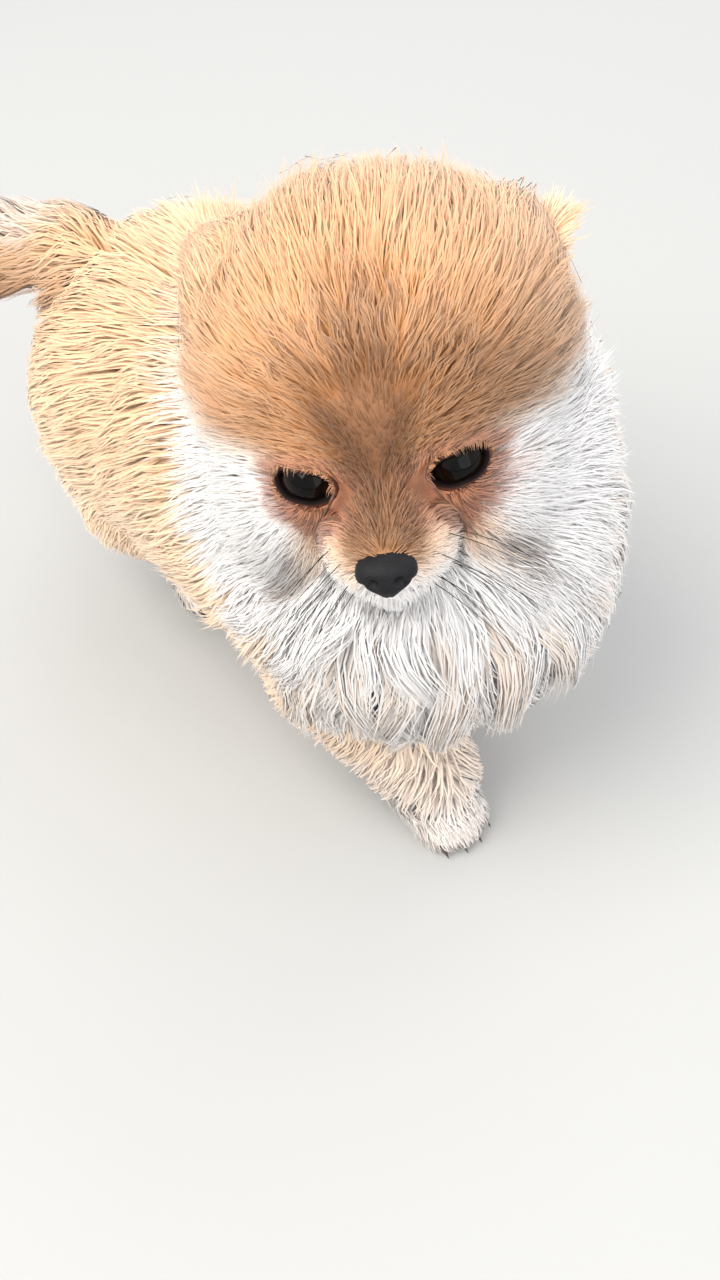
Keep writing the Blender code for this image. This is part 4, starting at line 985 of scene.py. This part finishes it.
def build_skin(material):
    points, faces = zero_surface(open_eyes(DOWN_LAYER))
    points[:, 2] = np.maximum(points[:, 2], 0.03)
    skin = new_mesh("skin", points, faces)
    normals = np.zeros(len(points) * 3, np.float32)
    skin.data.vertices.foreach_get("normal", normals)
    set_attribute(skin, "markings", "FLOAT_COLOR", markings(points, normals.reshape(-1, 3)))
    skin.data.materials.append(material)
    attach(skin, BODY)
    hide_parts("head", "neck", "torso", "tail", "leg_front_left", "leg_front_right",
                "leg_hind_left", "leg_hind_right")
    return skin


def ball_grid(polar, turn, radius, side):
    """Points round an eye from polar angle, turn and radius."""
    axes = eye_axes(side)
    local = np.stack([np.sin(polar) * np.cos(turn), np.sin(polar) * np.sin(turn), np.cos(polar)],
                     axis=-1) * radius[..., None]
    return (eye_centre(side) + local @ axes).reshape(-1, 3)


def eye_material():
    """Dark brown iris round a black pupil, under a clear wet layer."""
    material, tree, shader = new_material("wet_eye")
    polar = add(tree, "ShaderNodeAttribute", attribute_name="polar")
    iris = add(tree, "ShaderNodeMapRange", in_From_Min=0.3, in_From_Max=0.4)
    white = add(tree, "ShaderNodeMapRange", in_From_Min=0.92, in_From_Max=1.1)
    tree.links.new(polar.outputs["Fac"], iris.inputs["Value"])
    tree.links.new(polar.outputs["Fac"], white.inputs["Value"])
    place = add(tree, "ShaderNodeTexCoord")
    rays = add(tree, "ShaderNodeTexNoise", in_Scale=700.0, in_Detail=2.0)
    tree.links.new(place.outputs["Object"], rays.inputs["Vector"])
    brown = mix_colours(tree, rays.outputs[0], (0.003, 0.002, 0.0015, 1.0), (0.010, 0.005, 0.003, 1.0))
    colour = mix_colours(tree, iris.outputs[0], (0.002, 0.0015, 0.0015, 1.0), brown)
    colour = mix_colours(tree, white.outputs[0], colour, (0.02, 0.009, 0.008, 1.0))
    tree.links.new(colour, shader.inputs["Base Color"])
    shader.inputs["Roughness"].default_value = 0.06
    shader.inputs["Specular IOR Level"].default_value = 0.08
    shader.inputs["Coat Weight"].default_value = 0.12
    shader.inputs["Coat Roughness"].default_value = 0.02
    return material


def build_eyes(material):
    """Eyeballs: a ball whose front bulges by exp(-(polar / 0.5)^2), as a cornea does."""
    for side, name in ((-1, "right"), (1, "left")):
        polar = np.linspace(0.001, math.pi - 0.001, 41)[:, None]
        turn = np.linspace(0.0, 2.0 * math.pi, 48, endpoint=False)[None, :]
        radius = EYE_RADIUS * (1.0 + 0.05 * np.exp(-(polar / 0.5) ** 2)) + 0.0 * turn
        points = ball_grid(polar + 0.0 * turn, turn + 0.0 * polar, radius, side)
        thing = new_mesh("eyeball_" + name, points, grid_faces(41, 48)[:, ::-1])
        set_attribute(thing, "polar", "FLOAT", np.repeat(polar[:, 0], 48))
        thing.data.materials.append(material)
        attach(thing, BODY)
        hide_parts("eye_" + name)


def build_lids(material):
    """Lids: from inside the rim over its rounded edge and out over the ball of the eye, with two
    shallow folds that run along the opening."""
    steps = np.array((0.0, 0.08, 0.15, 0.22, 0.3, 0.38, 0.46, 0.54, 0.62, 0.7, 0.8, 0.9, 1.0))[:, None]
    turn = np.linspace(0.0, 2.0 * math.pi, 120, endpoint=False)[None, :]
    for side, name in ((-1, "right"), (1, "left")):
        edge = lid_edge(turn - side * EYE_TILT, side)
        past = np.clip(steps - 0.15, 0.0, 1.0) / 0.85
        polar = edge - 0.015 * np.sin(math.pi * np.clip(steps / 0.3, 0, 1)) + LID_SPREAD * past**1.1
        rise = 0.01 + 0.14 * smooth(steps, 0.0, 0.25) - 0.18 * smooth(steps, 0.45, 0.95)
        fold = 0.02 * np.cos(steps * 26.0) * smooth(steps, 0.25, 0.4) * (1.0 - smooth(steps, 0.7, 0.9))
        fold = fold * (1.0 + 0.4 * np.sin(9.0 * turn))
        radius = EYE_RADIUS + rise + fold + 0.0 * turn
        points = ball_grid(polar, turn + 0.0 * steps, radius, side)
        thing = new_mesh("lids_" + name, points, grid_faces(len(steps), 120)[:, ::-1])
        set_attribute(thing, "rim", "FLOAT", np.repeat(steps[:, 0], 120))
        thing.data.materials.append(material)
        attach(thing, BODY)


def build_lid_hair(hair):
    """Very short hair on the lids, away from the opening and towards its outer corner, and wisps
    from the brow that hang over the upper lid."""
    draw = np.random.default_rng(51)
    settings = dict(SHORT, width=0.036, soft=0.9)
    parts = np.array(settings["stations"])[:, None]
    for side, name in ((-1, "right"), (1, "left")):
        count = int(1100 * FEWER)
        wisp = np.arange(count) % 14 == 0
        corner = np.arange(count) % 2 == 1
        inner_turn = (math.pi if side > 0 else 0.0) + side * 0.3 + draw.normal(0.0, 0.4, count)
        turn = np.where(corner, inner_turn, draw.uniform(0.0, 2.0 * math.pi, count))
        turn = np.where(wisp, draw.uniform(0.3, 2.8, count), turn)
        past = np.where(corner, draw.uniform(0.08, 1.0, count), draw.uniform(0.08, 0.36, count))
        start = lid_edge(turn - side * EYE_TILT, side) + np.where(wisp, 0.42, past)
        heading = draw.uniform(0.25, 0.5, count) * np.where(wisp, -1.0, 1.0)
        polar = start + parts * heading
        swept = turn - side * 0.35 * parts * np.sin(turn)
        hanging = EYE_RADIUS + 0.1 + 0.2 * np.sqrt(parts) + 0.0 * turn
        hanging = ball_grid(polar, swept, hanging, side)
        laid = settle(ball_grid(polar, swept, 1.0 + 0.0 * polar, side), SKIN, 4)
        slopes = unit(read_grid(VOLUME, laid)[..., 3:6])
        laid = laid + slopes * np.repeat(0.02 + 0.11 * parts[:, 0], count)[:, None]
        wisps = np.tile(wisp, len(parts))[:, None]
        middles = np.where(wisps, hanging, laid).reshape(len(parts), count, 3)
        normals = slopes.reshape(len(parts), count, 3)
        upper = (np.sin(turn) > 0.0) & ~corner
        marks = np.zeros((count, 4))
        marks[:, 0] = np.where(upper, 0.7, 0.3)
        marks[:, 2] = np.where(upper, 0.35, 0.8)
        marks[:, 3] = np.where(corner, np.clip(1.3 - past, 0.4, 1.0), 0.4)
        fur = tuft_mesh("lid_hair_" + name, middles, normals, settings, draw,
                        settle(middles[0], SKIN, 2), marks)
        fur.data.materials.append(hair)
        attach(fur, BODY)


def lid_material():
    """Nearly black along the rim, then pink brown with fine creases."""
    material, tree, shader = new_material("lid_skin")
    rim = add(tree, "ShaderNodeAttribute", attribute_name="rim")
    share = add(tree, "ShaderNodeMapRange", in_From_Min=0.2, in_From_Max=0.36)
    tree.links.new(rim.outputs["Fac"], share.inputs["Value"])
    place = add(tree, "ShaderNodeTexCoord")
    crease = add(tree, "ShaderNodeTexNoise", in_Scale=1400.0, in_Detail=3.0)
    tree.links.new(place.outputs["Object"], crease.inputs["Vector"])
    flesh = mix_colours(tree, crease.outputs[0], (0.10, 0.04, 0.03, 1.0), (0.26, 0.11, 0.075, 1.0))
    tree.links.new(mix_colours(tree, share.outputs[0], (0.006, 0.003, 0.003, 1.0), flesh),
                   shader.inputs["Base Color"])
    bump = add(tree, "ShaderNodeBump", in_Strength=0.5, in_Distance=0.0003)
    tree.links.new(crease.outputs[0], bump.inputs["Height"])
    tree.links.new(bump.outputs[0], shader.inputs["Normal"])
    shader.inputs["Roughness"].default_value = 0.55
    shader.inputs["Specular IOR Level"].default_value = 0.08
    return material


def build_nose(material):
    """Nose leather: a rounded wedge, narrow below, with a comma-shaped dent for each nostril and a
    shallow groove down the middle; a dent is depth * exp(-(distance / size)^2)."""
    rows, columns = 72, 96
    polar = np.linspace(0.001, math.pi - 0.001, rows)[:, None]
    turn = np.linspace(0.0, 2.0 * math.pi, columns, endpoint=False)[None, :]
    way = np.stack([np.sin(polar) * np.cos(turn), np.sin(polar) * np.sin(turn),
                    np.cos(polar) + 0.0 * turn], axis=-1).reshape(-1, 3)
    up = way[:, 2]
    square = np.abs(way) ** 0.82 * np.sign(way)
    local = square * np.array((0.52, 0.74, 0.5))
    low = np.clip(-up, 0.0, 1.0)
    local[:, 1] *= 1.0 - 0.5 * low**1.3
    local[:, 2] -= 0.12 * low * np.exp(-(way[:, 1] / 0.4) ** 2)
    local[:, 0] -= 0.22 * np.clip(up, 0.0, 1.0) ** 2
    for side in (-1, 1):
        hole = local - np.array((0.42, 0.33 * side, -0.06))
        deep = np.exp(-((hole / np.array((0.3, 0.13, 0.12))) ** 2).sum(axis=1))
        slit = local - np.array((0.3, 0.52 * side, -0.16))
        deep = np.maximum(deep, 0.7 * np.exp(-((slit / np.array((0.3, 0.14, 0.06))) ** 2).sum(axis=1)))
        local -= way * (0.2 * deep)[:, None]
    groove = np.exp(-(local[:, 1] / 0.045) ** 2) * smooth(local[:, 0], 0.1, 0.4) * smooth(-up, -0.1, 0.4)
    local -= way * (0.05 * groove)[:, None]
    nose = new_mesh("nose_leather", on_head(2.72, 0.0, -1.24) + local @ HEAD_AXES,
                    grid_faces(rows, columns)[:, ::-1])
    nose.data.materials.append(material)
    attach(nose, BODY)
    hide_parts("nose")


def tubes(name, lines, radii, sides=5):
    """Round tubes along lines of points, lines by stations by 3, closed by their thin ends."""
    count, stations = lines.shape[:2]
    tangents = unit(np.gradient(lines, axis=1))
    helper = np.where(np.abs(tangents[..., 2:]) < 0.8, np.array((0.0, 0.0, 1.0)), np.array((1.0, 0, 0)))
    across = unit(np.cross(tangents, helper))
    over = np.cross(across, tangents)
    turn = np.linspace(0.0, 2.0 * math.pi, sides, endpoint=False)[:, None]
    ring = across[:, :, None] * np.cos(turn) + over[:, :, None] * np.sin(turn)
    points = lines[:, :, None] + ring * radii[..., None, None]
    faces = grid_faces(stations, sides)
    faces = (faces[None] + (np.arange(count) * stations * sides)[:, None, None]).reshape(-1, 4)
    return new_mesh(name, points.reshape(-1, 3), faces)


def build_whiskers(material):
    """Whiskers in rows on the sides of the muzzle: out and back, bending down by t^2."""
    draw = np.random.default_rng(31)
    part = np.linspace(0.0, 1.0, 14)[:, None]
    lines, radii = [], []
    for side in (-1, 1):
        for row in range(3):
            for place in range(3):
                root = on_head(1.75 - 0.45 * place, side * (0.7 + 0.1 * place), -1.3 - 0.22 * row)
                root = settle(root[None], SKIN, 5)[0]
                ahead = 0.18 if side > 0 else 1.0
                out = np.array((ahead - 0.12 * place, 0.82 * side, -0.26 - 0.17 * row))
                out = out + draw.normal(0.0, 0.08, 3)
                length = draw.uniform(2.5, 3.3)
                way = unit(out) @ HEAD_AXES
                fall = np.array((0.0, 0.0, -1.0)) + 0.25 * way
                fall = fall * draw.uniform(0.8, 1.3) * (1.0 if side > 0 else 0.55)
                lines.append(root + way * length * part + fall * part**2 - way * 0.1)
                radii.append(0.0135 * (1.0 - 0.8 * part[:, 0]))
    thing = tubes("whiskers", np.array(lines), np.array(radii))
    thing.data.materials.append(material)
    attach(thing, BODY)


def build_claws(material):
    """Claws: short curved cones at the front of each toe, bending down by t^2."""
    part = np.linspace(0.0, 1.0, 8)[:, None]
    lines, radii = [], []
    for across, along in (*FRONT_PAWS.values(), *HIND_PAWS.values()):
        for x, y, spread in toe_places(across, along):
            root = np.array((x + 0.1 * spread, y - 0.5, 0.42))
            way = unit(np.array((0.15 * spread, -1.0, -0.25)))
            lines.append(root + way * 0.42 * part + np.array((0.0, 0.0, -0.16)) * part**2)
            radii.append(0.1 * (1.0 - part[:, 0] ** 1.3) + 0.008)
    thing = tubes("claws", np.array(lines), np.array(radii), 10)
    thing.data.materials.append(material)
    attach(thing, BODY)


def ear_points(side, around, up_share, thick_scale=1.0):
    """The ear's cup: across is wide * cos, and the face bends by curl * cos^2."""
    root = on_head(EAR_ROOT[0], EAR_ROOT[1] * side, EAR_ROOT[2])
    tip = on_head(*EAR_TIPS[side])
    along = tip - root
    length = np.linalg.norm(along)
    along = along / length
    face = np.array((0.62, -0.25 * side, 0.62)) @ HEAD_AXES
    face = unit(face - along * (face @ along))
    across = np.cross(along, face)
    wide = EAR_HALF_WIDTH * (1.0 - up_share**2.6) ** 0.9 * (0.72 + 0.28 * np.minimum(1.0, 3 * up_share))
    thick = (0.2 * (1.0 - up_share) ** 0.6 + 0.05) * thick_scale
    depth = thick * np.sin(around)
    depth = np.where(depth < 0.0, -0.3 * depth, depth)
    curl = 0.55 * wide * np.cos(around) ** 2
    return (root + along * (length * up_share)[..., None] + across * (wide * np.cos(around))[..., None]
            + face * (curl - depth)[..., None]), along, face


EAR_HAIR = dict(SHORT, width=0.07, soft=0.7)
EAR_FEATHERS = {-1: 2.0, 1: 0.6}


def build_ears(material, hair):
    """Thin cups, with short hair on their backs, rims and inner edges that lies towards the tip."""
    draw = np.random.default_rng(41)
    for side, name in ((-1, "right"), (1, "left")):
        up_share = np.linspace(0.0, 0.995, 28)[:, None]
        around = np.linspace(0.0, 2.0 * math.pi, 40, endpoint=False)[None, :]
        points, along, face = ear_points(side, around + 0.0 * up_share, up_share + 0.0 * around)
        thing = new_mesh("ear_cup_" + name, points.reshape(-1, 3), grid_faces(28, 40))
        thing.data.materials.append(material)
        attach(thing, BODY)
        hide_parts("ear_" + name)
        count = int(1500 * FEWER)
        up_share = draw.uniform(0.15, 0.99, count)
        around = draw.uniform(0.0, 2.0 * math.pi, count)
        roots, along, face = ear_points(side, around, up_share)
        inner = np.sin(around) < 0.0
        across = np.cross(along, face)
        outward = unit(np.cos(around)[:, None] * across - np.sin(around)[:, None] * face)
        length = draw.uniform(0.4, 0.95, count) * np.where(inner, 0.7, 1.0)
        length *= EAR_FEATHERS[side] * (0.5 + 0.5 * up_share) + 1.0 - EAR_FEATHERS[side] * 0.5
        sway = draw.normal(0.0, 0.15, (count, 3))
        parts = np.array(EAR_HAIR["stations"])[:, None, None]
        way = unit(along + 0.35 * outward + sway)
        middles = roots + way * length[:, None] * parts + outward * 0.12 * parts * (1.0 - 0.5 * parts)
        normals = np.broadcast_to(unit(0.5 * outward + np.array((0.0, 0.0, 0.8))), middles.shape)
        marks = np.zeros((count, 4))
        marks[:, 0] = np.where(inner, 0.1, 0.45)
        fur = tuft_mesh("ear_fur_" + name, middles, normals, EAR_HAIR, draw, settle(roots, SKIN, 3), marks)
        fur.data.materials.append(hair)
        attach(fur, BODY)


def mouth_lines():
    """Edges above and below the line of the mouth, laid on the skin, and the short groove from the
    nose down to them."""
    part = np.linspace(0.0, 1.0, 18)[:, None]
    lines = []
    for side in (-1, 1):
        for edge in (-0.05, 0.05):
            forward = 2.35 - 2.6 * part**1.2
            left = side * (0.05 + 0.75 * np.sin(0.5 * math.pi * part) ** 0.7)
            up = -2.0 + edge - 0.2 * np.sin(math.pi * part) + 0.1 * part
            path = EYES_MIDDLE + np.concatenate([forward, left, up], axis=1) @ HEAD_AXES
            inward = 0.08 * (1.0 - smooth(part, 0.12, 0.35)) * HEAD_AXES[0]
            lines.append(settle(path, SKIN, 6) - inward)
    groove = on_head(2.45, 0.0, -1.5) + np.concatenate([-0.05 * part, 0.0 * part, -0.38 * part],
                                                       axis=1) @ HEAD_AXES
    lines.append(settle(groove, SKIN, 6))
    return np.array(lines)


def build_lips(material):
    """Lips: thin dark edges along the lines of the mouth, thinner towards its corners."""
    lines = mouth_lines()
    part = np.linspace(0.0, 1.0, lines.shape[1])
    radii = np.broadcast_to(0.045 * (1.0 - 0.7 * part**3), lines.shape[:2])
    thing = tubes("lips", lines, radii, 8)
    thing.data.materials.append(material)
    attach(thing, BODY)


# Stage


def build_stage():
    size = 6.0
    floor_points = np.array(((-size, -size, 0), (size, -size, 0), (size, size, 0), (-size, size, 0)))
    mesh = bpy.data.meshes.new("floor")
    mesh.from_pydata(floor_points.tolist(), [], [(0, 1, 2, 3)])
    floor = bpy.data.objects.new("floor", mesh)
    bpy.context.scene.collection.objects.link(floor)
    material, tree, shader = new_material("pale_floor")
    shader.inputs["Base Color"].default_value = (0.48, 0.48, 0.47, 1.0)
    shader.inputs["Roughness"].default_value = 0.9
    mesh.materials.append(material)


def add_light(name, place, aim, size, power, colour):
    """A square area light at a place, turned to what it lights, in metres."""
    lamp = bpy.data.lights.new(name, "AREA")
    lamp.size = size
    lamp.energy = power
    lamp.color = colour
    thing = bpy.data.objects.new(name, lamp)
    bpy.context.scene.collection.objects.link(thing)
    back = unit(np.array(place) - np.array(aim))
    thing.location = place
    right = unit(np.cross((0.0, 0.0, 1.0), back))
    up = np.cross(back, right)
    turned = np.eye(4)
    turned[:3, 0], turned[:3, 1], turned[:3, 2], turned[:3, 3] = right, up, back, place
    thing.matrix_world = [tuple(row) for row in turned.T]
    return thing


def build_lights():
    world = bpy.data.worlds.new("studio")
    bpy.context.scene.world = world
    world.use_nodes = True
    world.node_tree.nodes["Background"].inputs[0].default_value = (0.93, 0.96, 1.0, 1.0)
    world.node_tree.nodes["Background"].inputs[1].default_value = 1.02
    add_light("key", (-0.7, 0.1, 1.1), (0.0, 0.0, 0.08), 0.9, 17.0, (1.0, 0.95, 0.88))
    add_light("fill", (0.0, -1.1, 0.6), (0.0, 0.0, 0.08), 1.0, 4.8, (0.98, 0.98, 1.0))
    add_light("back", (0.9, 0.35, 0.85), (0.0, 0.0, 0.1), 0.9, 4.5, (1.0, 0.98, 0.95))
    bpy.context.scene.view_settings.view_transform = "Standard"


def build_camera():
    """Camera at the photo's angle, placed so that the eyes' middle falls on its own pixel."""
    back = np.array((math.sin(CAMERA_ROUND) * math.cos(CAMERA_RISE),
                     -math.cos(CAMERA_ROUND) * math.cos(CAMERA_RISE), math.sin(CAMERA_RISE)))
    right = np.array((math.cos(CAMERA_ROUND), math.sin(CAMERA_ROUND), 0.0))
    up = np.cross(back, right)
    step = EYES_DEPTH / FOCAL_PIXELS
    place = (EYES_MIDDLE + SHIFT + back * EYES_DEPTH
             - right * (EYES_PIXEL[0] - 0.5 * PICTURE[0]) * step
             - up * (0.5 * PICTURE[1] - EYES_PIXEL[1]) * step) * CM
    lens = bpy.data.cameras.new("camera")
    lens.sensor_width = 36.0
    lens.lens = 36.0 * FOCAL_PIXELS / PICTURE[1]
    lens.clip_start, lens.clip_end = 0.01, 50.0
    camera = bpy.data.objects.new("camera", lens)
    bpy.context.scene.collection.objects.link(camera)
    turned = np.eye(4)
    turned[:3, 0], turned[:3, 1], turned[:3, 2], turned[:3, 3] = right, up, back, place
    camera.matrix_world = [tuple(row) for row in turned.T]
    bpy.context.scene.camera = camera


build_camera()
build_lights()
build_stage()
tint = coat_tint_group()
coat = coat_material(tint)
build_skin(skin_material(tint))
build_eyes(eye_material())
build_lids(lid_material())
build_lid_hair(coat)
build_nose(plain_material("nose_leather", (0.008, 0.008, 0.009, 1.0), 0.5, 2200.0, 0.35,
                          0.0, (0.018, 0.018, 0.020, 1.0)))
build_lips(plain_material("lip", (0.02, 0.012, 0.012, 1.0), 0.4, 900.0, 0.2))
build_whiskers(plain_material("whisker", (0.02, 0.015, 0.012, 1.0), 0.4, 900.0, 0.1))
build_claws(plain_material("claw", (0.12, 0.08, 0.06, 1.0), 0.35, 900.0, 0.1,
                           second=(0.05, 0.035, 0.03, 1.0)))
build_ears(plain_material("ear_skin", (0.40, 0.2, 0.12, 1.0), 0.7, 1200.0, 0.4,
                          second=(0.52, 0.28, 0.17, 1.0)), coat)
build_coat(coat)
